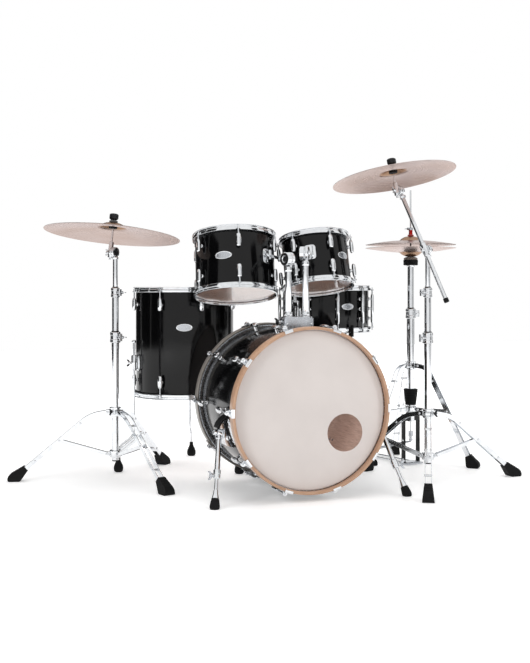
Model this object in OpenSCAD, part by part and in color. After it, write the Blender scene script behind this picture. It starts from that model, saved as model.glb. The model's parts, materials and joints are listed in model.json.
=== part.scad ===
// Acoustic drum kit: bass drum, two rack toms, floor tom, snare drum, hi-hat,
// ride and crash cymbals, with their stands and pedals. The kit stands on z = 0,
// the front head of the bass drum faces -Y, and the player sits on the +Y side.

/* [Bass drum] */
// Outside diameter of the bass drum shell
bass_d = 559; // [500:1:580]
// Depth of the bass drum shell
bass_depth = 457; // [420:1:470]
// Height of the bass hoops above the floor
bass_lift = 24; // [20:1:30]
// Diameter of the port hole in the front head
port_d = 134; // [90:1:150]
// Tension rods on each side of the bass drum
bass_rods = 10; // [8:2:10]

/* [Rack toms] */
// Outside diameter of the larger tom's shell
tom_12_d = 305; // [280:1:310]
// Depth of the larger tom's shell
tom_12_depth = 222; // [200:1:230]
// Outside diameter of the smaller tom's shell
tom_10_d = 254; // [240:1:260]
// Depth of the smaller tom's shell
tom_10_depth = 186; // [175:1:205]
// Tilt of the toms toward the player, in degrees
tom_tilt = 13; // [8:1:15]

/* [Floor tom] */
// Outside diameter of the floor tom's shell
floor_d = 406; // [380:1:410]
// Depth of the floor tom's shell
floor_depth = 431; // [406:1:457]
// Height of the floor tom's lower bearing edge
floor_base_z = 310; // [290:1:330]

/* [Snare drum] */
// Outside diameter of the snare drum's shell
snare_d = 356; // [345:1:360]
// Depth of the snare drum's shell
snare_depth = 170; // [150:1:175]
// Height of the snare drum's lower bearing edge
snare_base_z = 578; // [570:1:600]

/* [Cymbals] */
// Diameter of the ride cymbal
ride_d = 533; // [480:1:559]
// Diameter of the crash cymbal
crash_d = 483; // [430:1:508]
// Diameter of the hi-hat cymbals
hat_d = 381; // [340:1:390]
// Height of the ride cymbal's rod pivot
ride_pivot_z = 888; // [880:1:920]
// Height of the boom clamp's pivot
boom_pivot_z = 894; // [880:1:920]
// Height of the hi-hat's lower cymbal seat
hat_seat_z = 882; // [875:1:910]

/* [Tubes and walls] */
// Thickness of the ply shells
ply = 7.5; // [5:0.5:9]
// Radius of the stands' base tubes
base_tube_r = 14.3; // [14:0.1:16]
// Radius of the stands' middle tubes
mid_tube_r = 12.7; // [12.7:0.1:12.9]
// Radius of the stands' top tubes
top_tube_r = 9.5; // [8.5:0.1:9.6]

/* [Hidden] */

// Colours of the finishes
black_lacquer = "#101012";
chrome = "#c9ccd0";
maple = "#c9a074";
film_white = "#e9e3e0";
bronze = "#c8a890";
rubber = "#18181a";
steel = "#8d9196";

// Gaps: fit_gap between pieces that only sit together, run_gap round a shaft in its bore
fit_gap = 0.3;
run_gap = 0.05;
eps = 0.01;

// Floor plan: the kit's middle, then each unit, measured from the front of the bass drum
kit_mid = [-5.8, 496.7];
bass_at = [0, 0] - kit_mid;
floor_tom_at = [-245, 860] - kit_mid;
snare_at = [307, 651] - kit_mid;
ride_at = [-574, 662] - kit_mid;
crash_at = [557, 218] - kit_mid;
hihat_at = [683, 619] - kit_mid;
tom_12_at = [-144, 466, 833] - [kit_mid.x, kit_mid.y, 0];
tom_10_at = [158, 377, 845] - [kit_mid.x, kit_mid.y, 0];

// Bass drum sizes, with the drum's own axis starting at the front face of its front hoop
bass_r = bass_d / 2;
bass_hoop_r = bass_r + 14.5;
bass_hoop_w = 38;
bass_hoop_step = 22;
hoop_proud = 25;
bass_length = bass_depth + 2 * hoop_proud;
bass_z = bass_lift + bass_hoop_r;
bass_rod_r = bass_hoop_r + 10;
port_angle = 123;
port_off = 155;

// Bearing edges, heads and steel hoops, measured from the shell's outside and its edge
edge_back = 2;
edge_round = 4;
film = 0.6;
flesh_out = 7;
flesh_deep = 9;
hoop_wall = 2.3;
hoop_in = 4;
hoop_top = 11;
hoop_skirt = -10;
rod_off = 15;
rod_r = 2.9;
ear_r = 6.5;
ear_t = 3;
lug_r = 7.5;
lug_len = 50;

// Tilts, as [lean angle, compass angle it leans toward]
tom_12_lean = [tom_tilt, 80];
tom_10_lean = [tom_tilt + 1, 93];
ride_lean = [7.6, 35];
crash_lean = [11.2, 122];

// Angle of the first lug and of the badge on each upright drum
floor_lug_a = 229;
floor_badge_a = 255.5;
tom_12_lug_a = 258.5;
tom_12_badge_a = 236.5;
tom_10_lug_a = 274;
tom_10_badge_a = 303;
snare_lug_a = 263;
snare_badge_a = 278;

// Tom holder: places and heights of its posts
post_r = 11.1;
post_off = 33;
holder_y = 165;
holder_top_z = 646;
post_foot_z = 505;
left_pivot_z = 852;
right_pivot_z = 874;
tom_tilter_r = 25;
tom_half_w = 20;
post_half_w = 13;
tilter_r = 20;
pin_r = 5;
post_left_at = bass_at + [-post_off, holder_y];
post_right_at = bass_at + [post_off, holder_y];

// Spurs: pivot and tip, measured from the bass drum's axis on its right-hand side
spur_pivot = [297, 118, -81];
spur_tip = [350, -8];
spur_pin_r = 6;
spur_head_r = 15;
spur_head_w = 20;

// Floor tom legs
floor_leg_angles = [188, 70, 305];
floor_leg_r = 5;
floor_leg_off = 20;
floor_leg_foot_r = 290;
floor_leg_bend_z = 145;
floor_bracket_z = 442;

// Tripods: reach of the feet, heights of the collars and compass angles of the legs
tripod_reach = 412;
tripod_top_z = 266;
tripod_low_z = 100;
ride_leg_angles = [168, -72, 48];
crash_leg_angles = [-117, 2, 122];
hihat_leg_angles = [-40, -160, 80];
hihat_reach = 292;
snare_leg_angles = [-3, 117, 237];
snare_reach = 225;
strip_w = 17;
strip_t = 3;
strip_gap = 19;

// Clamps at the tube tops
clamp_h = 34;
clamp_r = 20;
base_top_z = 560;
mid_top_z = 735;

// Cymbal fittings on a tilter rod, measured up the rod from the pivot
rod_side = 26;
felt_z = 52;
felt_h = 8;
bell_z = felt_z + felt_h;
cymbal_t = 1.4;
cymbal_hole_r = 6;
cymbal_rod_r = 4;
knob_r = 18;
cup_r = 17;

// Boom arm: lean from upright, compass angle and side offset
boom_lean = 25.7;
boom_a = 122;
boom_side = 21.5;
boom_up = 235;
boom_down = 208;
boom_r = 8;

// Hi-hat
hat_gap = 13;
hat_bell_r = 48;
hat_bell_h = 18;
hat_bow_h = 17;
hihat_rod_r = 3.2;
hihat_tube_r = 13;
hihat_frame_w = 84;
hihat_base_r = 16;
hihat_board_a = 105;
hihat_heel = [285, 0, 14];
hihat_toe = [12, 0, 88];
hihat_top_z = 1165;

// Kick pedal, measured from the bass drum
kick_axle = [0, 545, 195];
kick_heel = [0, 775, 16];
kick_toe = [0, 578, 120];
beater_len = 150;
beater_back = 28;
beater_r = 22;
beater_w = 40;

// A unit vector's compass direction
function compass(a) = [cos(a), sin(a)];
function up(p, z) = [p.x, p.y, z];

// Point p turned by a lean of [angle, compass] about the origin
function turn_z(p, a) = [p.x * cos(a) - p.y * sin(a), p.x * sin(a) + p.y * cos(a), p.z];
function turn_y(p, t) = [p.x * cos(t) + p.z * sin(t), p.y, p.z * cos(t) - p.x * sin(t)];
function leaned(p, lean) = turn_z(turn_y(turn_z(p, -lean[1]), lean[0]), lean[1]);

// The outline of a bent strip of width w through three points
function unit2(v) = v / norm(v);
function left2(v) = [-v.y, v.x];
function mitre(a, b) = (left2(a) + left2(b)) / (1 + a * b);
function strip_outline(p, w) =
  let (a = unit2(p[1] - p[0]), b = unit2(p[2] - p[1]), m = mitre(a, b) * w / 2)
  [p[0] + left2(a) * w / 2, p[1] + m, p[2] + left2(b) * w / 2,
   p[2] - left2(b) * w / 2, p[1] - m, p[0] - left2(a) * w / 2];

// Leans its children by lean = [angle, compass]
module lean(l) rotate([0, 0, l[1]]) rotate([0, l[0], 0]) rotate([0, 0, -l[1]]) children();

// A round bar of radius r from p to q
module bar(p, q, r) {
  d = q - p;
  flat = norm([d.x, d.y]);
  translate(p) rotate([0, atan2(flat, d.z), atan2(d.y, d.x)]) cylinder(r = r, h = norm(d), $fn = 32);
}

// A rod with round ends along z, centred
module capsule(r, length) {
  cylinder(r = r, h = length - 2 * r, center = true, $fn = 32);
  for (s = [-1, 1]) translate([0, 0, s * (length / 2 - r)]) sphere(r = r, $fn = 32);
}

// A clamp collar round a tube, with a lug and a wing bolt on the side at compass angle a
module tube_clamp(inner_r, outer_r, h, a) {
  difference() {
    union() {
      cylinder(r = outer_r, h = h, $fn = 48);
      rotate([0, 0, a]) translate([0, -7, h * 0.15]) cube([outer_r + 16, 14, h * 0.7]);
    }
    translate([0, 0, -1]) cylinder(r = inner_r, h = h + 2, $fn = 48);
  }
  rotate([0, 0, a]) translate([outer_r + 9, 7 - eps, h / 2]) rotate([-90, 0, 0]) {
    cylinder(r = 4, h = 12, $fn = 24);
    translate([-14, -2, 10]) cube([28, 4, 14]);
  }
}

// ---- Drum pieces ----

// A ply shell centred on its own middle, with its bearing edges cut at 45 degrees
module shell_ring(r, depth) {
  h = depth / 2;
  cut = ply - edge_back;
  color(black_lacquer) rotate_extrude($fn = 96) polygon([
    [r - ply, cut - h], [r - edge_back, -h], [r, edge_round - h],
    [r, h - edge_round], [r - edge_back, h], [r - ply, h - cut]
  ]);
}

// The outline of a head's film and flesh hoop, on a bearing edge at height 0, from radius r0
module head_outline(r, r0) polygon([
  [r0, 0.05], [r0, film], [r - 1, film], [r + 2.6, -1.6], [r + flesh_out, -1.6],
  [r + flesh_out, -flesh_deep], [r + 0.5, -flesh_deep], [r + 0.5, -1], [r - 1.6, 0.05]
]);

module head(r) rotate_extrude($fn = 96) head_outline(r, 0);

// A head on each end of a shell that is centred on its middle
module head_pair(r, depth) color(film_white)
  for (s = [0, 1]) mirror([0, 0, s]) translate([0, 0, depth / 2]) head(r);

// A triple-flanged steel hoop over a bearing edge at height 0, with an ear for each rod
module steel_hoop(r, count, first_a) difference() {
  union() {
    rotate_extrude($fn = 96) polygon([
      [r + hoop_in, -1.2], [r + 8, -1.2], [r + 8, hoop_skirt], [r + 8 + hoop_wall, hoop_skirt],
      [r + 8 + hoop_wall, 1.1], [r + hoop_in + hoop_wall, 1.1],
      [r + hoop_in + hoop_wall, hoop_top - hoop_wall], [r + 10.5, hoop_top - hoop_wall],
      [r + 10.5, hoop_top], [r + hoop_in, hoop_top]
    ]);
    for (i = [0 : count - 1]) rotate([0, 0, first_a + i * 360 / count])
      translate([r + 9, -ear_r, hoop_skirt]) {
        cube([rod_off - 9, 2 * ear_r, ear_t]);
        translate([rod_off - 9, ear_r, 0]) cylinder(r = ear_r, h = ear_t, $fn = 32);
      }
  }
  for (i = [0 : count - 1]) rotate([0, 0, first_a + i * 360 / count])
    translate([r + rod_off, 0, hoop_skirt - 1]) cylinder(r = rod_r + 0.4, h = ear_t + 2, $fn = 24);
}

module steel_hoop_pair(r, depth, count, first_a) color(chrome)
  for (s = [0, 1]) mirror([0, 0, s])
    translate([0, 0, depth / 2]) steel_hoop(r, count, first_a);

// A lug's round body on its foot, at radial distance axis_r, centred on height 0
module lug_body(r, axis_r, length) difference() {
  union() {
    translate([axis_r, 0, 0]) capsule(lug_r, length);
    translate([r - 2, 0, 0]) rotate([0, 90, 0]) cylinder(r = 7, h = axis_r - r + 2, $fn = 32);
  }
  cylinder(r = r + fit_gap, h = length, center = true, $fn = 96);
}

// A tension rod with its washer and square head; it runs down from the hoop's ear
module tension_rod(axis_r, length) translate([axis_r, 0, hoop_skirt + ear_t + fit_gap]) {
  translate([0, 0, -length]) cylinder(r = rod_r, h = length + 1, $fn = 24);
  cylinder(r = 4.4, h = 2, $fn = 32);
  translate([0, 0, 1]) cylinder(r = 3.4, h = 9, $fn = 24);
}

// The lugs and rods of both ends of an upright drum, with inset the lugs' distance inward
module drum_lugs(r, depth, count, first_a, inset) color(chrome)
  for (s = [0, 1], i = [0 : count - 1]) mirror([0, 0, s])
    rotate([0, 0, first_a + i * 360 / count]) translate([0, 0, depth / 2]) {
      translate([0, 0, -inset]) lug_body(r, r + rod_off, lug_len);
      tension_rod(r + rod_off, inset - lug_len / 2 + 4);
    }

// A blank oval badge of width w on a shell of radius r, at compass angle a and height z
module badge(r, a, z, w) color(chrome) rotate([0, 0, a]) translate([0, 0, z]) intersection() {
  rotate([90, 0, 90]) linear_extrude(r + 10)
    polygon([for (t = [0 : 12 : 348]) [w / 2 * cos(t), w / 4.4 * sin(t)]]);
  difference() {
    cylinder(r = r + 2.2, h = w, center = true, $fn = 96);
    cylinder(r = r + fit_gap, h = w + 2, center = true, $fn = 96);
  }
}

// ---- Bass drum ----

// Children in the bass drum's own frame: z from the front hoop's face to the rear, -y up
module bass_frame() translate([bass_at.x, bass_at.y, bass_z]) rotate([-90, 0, 0]) children();

// Both ends of the bass drum: children at the front, facing out along -z, then at the rear
module bass_ends() {
  children();
  translate([0, 0, bass_length]) mirror([0, 0, 1]) children();
}

// Children once at each rod of the bass drum, with x pointing outward
module bass_rod_places() for (i = [0 : bass_rods - 1])
  rotate([0, 0, -90 + (i + 0.5) * 360 / bass_rods]) children();

module bass_shell() difference() {
  bass_frame() translate([0, 0, bass_length / 2]) shell_ring(bass_r, bass_depth);
  for (p = [post_left_at, post_right_at])
    translate(up(p, bass_z + bass_r / 2)) cylinder(r = post_r + 1.5, h = bass_r, $fn = 48);
}

module bass_hoops() color(maple) bass_frame() bass_ends() rotate_extrude($fn = 96) polygon([
  [bass_hoop_r, 1], [bass_hoop_r - 1, 0], [bass_r + 4, 0], [bass_r + 3, 1],
  [bass_r + 3, bass_hoop_step], [bass_r + 9.5, bass_hoop_step], [bass_r + 9.5, bass_hoop_w],
  [bass_hoop_r, bass_hoop_w]
]);

// The front head has the port hole, low on its right-hand side
module bass_heads() color(film_white) bass_frame() {
  difference() {
    translate([0, 0, hoop_proud]) mirror([0, 0, 1]) head(bass_r);
    rotate([0, 0, port_angle - 90]) translate([port_off, 0, hoop_proud - 5])
      cylinder(r = port_d / 2, h = 10, $fn = 64);
  }
  translate([0, 0, bass_length - hoop_proud]) head(bass_r);
}

// Lugs with their tension rods, which reach forward through the claws
bass_lug_z = 130;
claw_z = 30;
claw_h = 14;
module bass_lugs() color(chrome) bass_frame() bass_ends() bass_rod_places() {
  translate([0, 0, bass_lug_z]) lug_body(bass_r, bass_rod_r, 56);
  translate([bass_rod_r, 0, claw_z - 2]) cylinder(r = 3.2, h = bass_lug_z - claw_z, $fn = 24);
  translate([bass_rod_r, 0, claw_z - fit_gap - 12]) cylinder(r = 4.6, h = 12, $fn = 24);
}

// Claws that hook over the hoops, each with a boss round its rod
module bass_claws() color(chrome) bass_frame() bass_ends() bass_rod_places() difference() {
  union() {
    translate([bass_r + 7, -12, -3 - fit_gap]) cube([bass_hoop_r - bass_r - 3, 24, 3]);
    translate([bass_hoop_r + fit_gap, -12, -3 - fit_gap]) cube([3.4, 24, 14]);
    translate([bass_hoop_r + fit_gap, -7, 8]) cube([3.4, 14, claw_z + claw_h - 8]);
    translate([bass_hoop_r + fit_gap, -6, claw_z]) cube([10, 12, claw_h]);
    translate([bass_rod_r, 0, claw_z]) cylinder(r = 7, h = claw_h, $fn = 32);
  }
  translate([bass_rod_r, 0, claw_z - 1]) cylinder(r = 3.6, h = claw_h + 2, $fn = 24);
  translate([bass_rod_r, 0, -10]) cylinder(r = 5.2, h = claw_z + 10 - eps, $fn = 24);
}

// ---- Tom holder and spur brackets ----

// The hinge frame of the right-hand spur: z along the hinge pin, pointing away from the drum
spur_leg = [spur_tip.x, spur_tip.y, -bass_z] - spur_pivot;
spur_axis = [-spur_leg.z, 0, spur_leg.x] / norm([spur_leg.z, spur_leg.x]);
module spur_frame(side) translate([bass_at.x, bass_at.y, bass_z]) mirror([side < 0 ? 1 : 0, 0, 0])
  translate(spur_pivot) children();

// Children with z along the spur's hinge pin
module along_spur_pin() rotate([0, atan2(spur_axis.x, spur_axis.z), 0]) children();

module spur_bracket(side) {
  spur_frame(side) along_spur_pin() {
    translate([0, 0, -9 - fit_gap]) cylinder(r = 17, h = 9, $fn = 48);
    translate([0, 0, -10]) cylinder(r = spur_pin_r, h = spur_head_w + 12, $fn = 32);
    translate([0, 0, spur_head_w + fit_gap]) cylinder(r = 10, h = 5, $fn = 32);
  }
  difference() {
    spur_frame(side) along_spur_pin() translate([0, 0, -35]) cylinder(r = 15, h = 27, $fn = 48);
    bass_frame() cylinder(r = bass_r + fit_gap, h = bass_length, $fn = 96);
  }
  intersection() {
    bass_frame() translate([0, 0, 70]) difference() {
      cylinder(r = bass_r + 3.5, h = 100, $fn = 96);
      translate([0, 0, -1]) cylinder(r = bass_r + fit_gap, h = 102, $fn = 96);
    }
    translate([bass_at.x + side * 290, bass_at.y + 120, bass_z - 75]) cube([80, 110, 105], center = true);
  }
}

// The tom holder's base: a block on a saddle plate, with a socket for each post
module tom_holder_base() difference() {
  union() {
    translate(up(bass_at + [-60, holder_y - 27], bass_z + bass_r - 20))
      cube([120, 54, holder_top_z - bass_z - bass_r + 20]);
    translate(up(bass_at + [-72, holder_y - 36], bass_z + bass_r - 20)) cube([144, 72, 26]);
    bar(up(bass_at + [-62, holder_y], 628), up(bass_at + [-80, holder_y], 628), 5);
    translate(up(bass_at + [-86, holder_y - 4], 614)) cube([8, 8, 28]);
  }
  bass_frame() cylinder(r = bass_r + fit_gap, h = bass_length, $fn = 96);
  for (p = [post_left_at, post_right_at])
    translate(up(p, bass_z)) cylinder(r = post_r + run_gap, h = holder_top_z, $fn = 48);
}

module bass_brackets() color(chrome) {
  for (side = [-1, 1]) spur_bracket(side);
  tom_holder_base();
}

// A spur: hinge eye, thick tube, memory lock with its wing bolt, thin tube, cup and rubber tip
module spur(side) spur_frame(side) {
  dir = spur_leg / norm(spur_leg);
  color(chrome) {
    along_spur_pin() difference() {
      cylinder(r = spur_head_r, h = spur_head_w, $fn = 48);
      translate([0, 0, -1]) cylinder(r = spur_pin_r + run_gap, h = spur_head_w + 2, $fn = 32);
    }
    translate(spur_axis * spur_head_w / 2) {
      bar(dir * (spur_head_r - 2), dir * 160, 9.5);
      bar(dir * 138, dir * 168, 13);
      bar(dir * 150, dir * 236, 6.5);
      bar(dir * 228, dir * 240, 12);
      translate(dir * 153) bar([0, 0, 0], [24, -8, 0], 4);
    }
  }
  color(rubber) difference() {
    translate(spur_axis * spur_head_w / 2) bar(dir * (240 - eps), dir * (norm(spur_leg) + 20), 14);
    translate(spur_leg - [60, 60, 100]) cube([120, 120, 100]);
  }
}
module spur_left() spur(-1);
module spur_right() spur(1);

// ---- Upright drums ----

module upright(at, base_z, depth) translate(up(at, base_z + depth / 2)) children();
module tom_frame(at, l) translate(at) lean(l) children();

module floor_tom_shell() upright(floor_tom_at, floor_base_z, floor_depth)
  shell_ring(floor_d / 2, floor_depth);
module floor_tom_hoops() upright(floor_tom_at, floor_base_z, floor_depth)
  steel_hoop_pair(floor_d / 2, floor_depth, 8, floor_lug_a);
module floor_tom_heads() upright(floor_tom_at, floor_base_z, floor_depth)
  head_pair(floor_d / 2, floor_depth);

// A leg bracket: a block on the shell with a bore for the leg and a wing bolt
module leg_bracket(r) {
  h = 66;
  difference() {
    union() {
      translate([r - 3, -15, -h / 2]) cube([19, 30, h]);
      translate([r + floor_leg_off, 0, -h / 2]) cylinder(r = 12, h = h, $fn = 48);
    }
    cylinder(r = r + fit_gap, h = h + 2, center = true, $fn = 96);
    translate([r + floor_leg_off, 0, -h]) cylinder(r = floor_leg_r + run_gap, h = 2 * h, $fn = 32);
  }
  bar([r + floor_leg_off + 11, 0, 0], [r + floor_leg_off + 24, 0, 0], 4);
  translate([r + floor_leg_off + 20, -2, -16]) cube([12, 4, 32]);
}

module floor_tom_lugs() color(chrome) {
  upright(floor_tom_at, floor_base_z, floor_depth) {
    drum_lugs(floor_d / 2, floor_depth, 8, floor_lug_a, 60);
    badge(floor_d / 2, floor_badge_a, 64, 66);
  }
  for (a = floor_leg_angles)
    translate(up(floor_tom_at, floor_bracket_z)) rotate([0, 0, a]) leg_bracket(floor_d / 2);
}

// A bent leg in its rubber foot
module floor_tom_leg(a) translate(floor_tom_at) rotate([0, 0, a]) {
  r0 = floor_d / 2 + floor_leg_off;
  bend = [r0, 0, floor_leg_bend_z];
  knee = [floor_leg_foot_r, 0, floor_leg_bend_z - 45];
  color(chrome) {
    bar([r0, 0, 535], bend, floor_leg_r);
    translate(bend) sphere(r = floor_leg_r + 0.4, $fn = 32);
    bar(bend, knee, floor_leg_r);
    translate(knee) sphere(r = floor_leg_r + 0.4, $fn = 32);
    bar(knee, [floor_leg_foot_r, 0, 60], floor_leg_r);
  }
  color(rubber) translate([floor_leg_foot_r, 0, 0]) rotate_extrude($fn = 48)
    polygon([[0, 0], [13, 0], [18, 5], [19.5, 13], [19, 22], [15, 34], [9, 45], [8, 62], [0, 62]]);
}
module floor_tom_leg_left() floor_tom_leg(floor_leg_angles[0]);
module floor_tom_leg_rear() floor_tom_leg(floor_leg_angles[1]);
module floor_tom_leg_right() floor_tom_leg(floor_leg_angles[2]);

module tom_12_shell() tom_frame(tom_12_at, tom_12_lean) shell_ring(tom_12_d / 2, tom_12_depth);
module tom_12_hoops() tom_frame(tom_12_at, tom_12_lean)
  steel_hoop_pair(tom_12_d / 2, tom_12_depth, 6, tom_12_lug_a);
module tom_12_heads() tom_frame(tom_12_at, tom_12_lean) head_pair(tom_12_d / 2, tom_12_depth);
module tom_12_lugs() color(chrome) tom_frame(tom_12_at, tom_12_lean) {
  drum_lugs(tom_12_d / 2, tom_12_depth, 6, tom_12_lug_a, 52);
  badge(tom_12_d / 2, tom_12_badge_a, 6, 66);
}
module tom_10_shell() tom_frame(tom_10_at, tom_10_lean) shell_ring(tom_10_d / 2, tom_10_depth);
module tom_10_hoops() tom_frame(tom_10_at, tom_10_lean)
  steel_hoop_pair(tom_10_d / 2, tom_10_depth, 6, tom_10_lug_a);
module tom_10_heads() tom_frame(tom_10_at, tom_10_lean) head_pair(tom_10_d / 2, tom_10_depth);
module tom_10_lugs() color(chrome) tom_frame(tom_10_at, tom_10_lean) {
  drum_lugs(tom_10_d / 2, tom_10_depth, 6, tom_10_lug_a, 46);
  badge(tom_10_d / 2, tom_10_badge_a, 0, 60);
}

// ---- Tom holder posts and tom mounts ----

// Compass angle of the arm from a post to its tom
function arm_angle(post_at, tom_at) = atan2(tom_at.y - post_at.y, tom_at.x - post_at.x);

// The tilter's frame: x toward the tom, y along the hinge
module tilter_frame(post_at, pivot_z, a) translate(up(post_at, pivot_z)) rotate([0, 0, a]) children();

module tom_post(post_at, pivot_z, a) color(chrome) {
  translate(up(post_at, post_foot_z))
    cylinder(r = post_r, h = pivot_z - tom_tilter_r - 3 - post_foot_z, $fn = 48);
  translate(up(post_at, holder_top_z + fit_gap)) cylinder(r = post_r + 5, h = 14, $fn = 48);
  tilter_frame(post_at, pivot_z, a) rotate([90, 0, 0]) {
    translate([0, 0, 0.2]) cylinder(r = tom_tilter_r, h = post_half_w - 0.2, $fn = 48);
    translate([0, 0, 1 - tom_half_w]) cylinder(r = pin_r, h = tom_half_w + 3, $fn = 32);
    translate([-9, -tom_tilter_r - 8, 0.2]) cube([18, tom_tilter_r + 8, 10.4]);
    translate([0, 0, post_half_w - eps]) cylinder(r = 8, h = 8, $fn = 32);
  }
}
module tom_post_left()
  tom_post(post_left_at, left_pivot_z, arm_angle(post_left_at, tom_12_at));
module tom_post_right()
  tom_post(post_right_at, right_pivot_z, arm_angle(post_right_at, tom_10_at));

// A tom's shell bracket and the arm that carries it on the tilter; swing turns the bracket
// round the shell, away from the side that faces the post
module tom_mount(post_at, pivot_z, tom_at, l, r, drop, swing) color(chrome) {
  a = arm_angle(post_at, tom_at);
  side = compass(a + 180 + swing);
  socket = tom_at + leaned([side.x * (r + 16), side.y * (r + 16), drop], l);
  start = up(post_at, pivot_z) + up(compass(a + 90) * tom_half_w / 2, 0);
  tilter_frame(post_at, pivot_z, a) rotate([90, 0, 0]) difference() {
    translate([0, 0, -tom_half_w]) cylinder(r = tom_tilter_r, h = tom_half_w - 0.2, $fn = 48);
    translate([0, 0, 0.8 - tom_half_w]) cylinder(r = pin_r + run_gap, h = tom_half_w, $fn = 32);
  }
  bar(start + up(compass(a) * 18, 0), socket, 6);
  tom_frame(tom_at, l) difference() {
    rotate([0, 0, a + 180 + swing]) union() {
      translate([r - 2, -22, drop - 28]) cube([8, 44, 56]);
      translate([r + 3, -14, drop - 18]) cube([26, 28, 36]);
    }
    cylinder(r = r + fit_gap, h = 200, center = true, $fn = 96);
  }
}
module tom_12_mount()
  tom_mount(post_left_at, left_pivot_z, tom_12_at, tom_12_lean, tom_12_d / 2, 10, 14);
module tom_10_mount()
  tom_mount(post_right_at, right_pivot_z, tom_10_at, tom_10_lean, tom_10_d / 2, 12, 0);

// ---- Snare drum ----

strainer_a = 209;
butt_a = strainer_a - 180;
strap_w = 44;
lever_at = [snare_d / 2 + 12, 0, 30];
module snare_frame() upright(snare_at, snare_base_z, snare_depth) children();

module snare_shell() snare_frame() shell_ring(snare_d / 2, snare_depth);
module snare_heads() snare_frame() head_pair(snare_d / 2, snare_depth);

// The lower hoop has a gate on each side for the strap of the wires
module snare_hoops() color(chrome) snare_frame() difference() {
  steel_hoop_pair(snare_d / 2, snare_depth, 10, snare_lug_a);
  for (a = [strainer_a, butt_a]) rotate([0, 0, a])
    translate([snare_d / 2 - 5, -strap_w / 2 - 1, -snare_depth / 2 - 7]) cube([25, strap_w + 2, 5]);
}

module snare_lugs() color(chrome) snare_frame() {
  r = snare_d / 2;
  for (i = [0 : 9]) rotate([0, 0, snare_lug_a + 36 * i]) {
    difference() {
      union() {
        translate([r + rod_off, 0, 0]) capsule(6, 116);
        for (z = [-40, 0, 40]) translate([r - 2, 0, z]) rotate([0, 90, 0])
          cylinder(r = 5.5, h = rod_off + 2, $fn = 32);
      }
      cylinder(r = r + fit_gap, h = 120, center = true, $fn = 96);
    }
    for (s = [0, 1]) mirror([0, 0, s]) translate([0, 0, snare_depth / 2])
      tension_rod(r + rod_off, snare_depth / 2 - 55);
  }
  badge(r, snare_badge_a, 10, 56);
  for (a = [strainer_a, butt_a]) rotate([0, 0, a]) difference() {
    translate([r - 4, -17, -58]) cube([20, 34, a == butt_a ? 44 : 80]);
    cylinder(r = r + fit_gap, h = 200, center = true, $fn = 96);
    translate([r + 6, -12, 9]) cube([20, 24, 40]);
  }
  rotate([0, 0, strainer_a]) translate(lever_at) rotate([90, 0, 0])
    translate([0, 0, -14]) cylinder(r = 2.5, h = 28, $fn = 24);
  rotate([0, 0, strainer_a]) for (y = [-16, 12]) translate([r + 1, y, 20]) cube([15, 4, 15]);
}

// Twenty wires on two end plates, with a strap out to the strainer and to the butt
module snare_wires() color(steel) snare_frame() rotate([0, 0, strainer_a]) {
  wire_z = -snare_depth / 2 - film - 1.2;
  plate_x = 148;
  for (i = [0 : 19]) translate([0, (i - 9.5) * 2.2, wire_z]) rotate([0, 90, 0])
    cylinder(r = 0.8, h = 2 * plate_x, center = true, $fn = 16);
  for (s = [-1, 1]) translate([s * (plate_x + 4), 0, 0]) {
    translate([-8, -strap_w / 2, wire_z - 1]) cube([16, strap_w, 2]);
    translate([s > 0 ? 4 : -4 - 40, -16, wire_z - 3]) cube([40, 32, 1]);
    translate([s > 0 ? 43 : -45, -14, wire_z - 3]) cube([2, 28, 36]);
    translate([s > 0 ? 4 : -6, -16, wire_z - 3]) cube([2, 32, 3]);
  }
}

// The throw-off lever of the strainer
module strainer_lever() color(chrome) snare_frame() rotate([0, 0, strainer_a]) translate(lever_at)
  difference() {
    union() {
      rotate([90, 0, 0]) cylinder(r = 5.4, h = 21, center = true, $fn = 32);
      translate([2, -8, 0]) cube([4, 16, 46]);
      translate([4, 0, 46]) rotate([0, 90, 0]) cylinder(r = 8, h = 4, center = true, $fn = 32);
    }
    rotate([90, 0, 0]) cylinder(r = 2.5 + run_gap, h = 30, center = true, $fn = 24);
  }

// ---- Tripods and tubes ----

// One leg in its own plane: x outward from the tube, y up. Two strips joined by rivets.
// The leg's line runs on toward its sole, and the leg ends in the mouth of its foot
sole_back = 34;
sole_z = 20;
mouth_z = 50;
function leg_line(reach, top_z) =
  [[14, top_z], [reach * 0.24, top_z - reach * 0.035], [reach - sole_back, sole_z]];
function leg_dir(path) = unit2(path[2] - path[1]);
function leg_path(reach, top_z) =
  let (p = leg_line(reach, top_z), d = leg_dir(p)) [p[0], p[1], p[2] + d * (mouth_z - sole_z) / d.y];
module strip_pair(path, w, half_gap) for (s = [-1, 1])
  translate([0, s * (half_gap + strip_t / 2) + strip_t / 2, 0]) rotate([90, 0, 0])
    linear_extrude(strip_t) polygon(strip_outline(path, w));
module rivet(p, half) translate([p.x, 0, p.y]) rotate([90, 0, 0])
  cylinder(r = 3.6, h = 2 * half, center = true, $fn = 24);

// A leg with its brace, and the cheeks that hold both on their collars
module tripod_leg(reach, top_z, low_z, joint, collar_r) {
  half = strip_gap / 2;
  path = leg_path(reach, top_z);
  line = leg_line(reach, top_z);
  meet = line[1] + (line[2] - line[1]) * joint;
  low = [collar_r + 8, low_z];
  middle = (low + meet) / 2;
  strip_pair(path, strip_w, half);
  strip_pair([low, middle, meet], strip_w - 3, half - strip_t - 0.2);
  rivet(meet, half + strip_t + 1.2);
  for (f = [0.15, 0.86]) rivet(path[1] + (path[2] - path[1]) * f, half + strip_t + 1.2);
  rivet([collar_r + 8, top_z - 2], half + strip_t + 1.2);
  rivet(low, half + 1.2);
  translate([0, -half, top_z - 12]) cube([collar_r + 13, strip_gap, 20]);
  translate([0, 0.3 - half + strip_t, low_z - 8]) cube([collar_r + 13, strip_gap - 2 * strip_t - 0.6, 16]);
}

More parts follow.
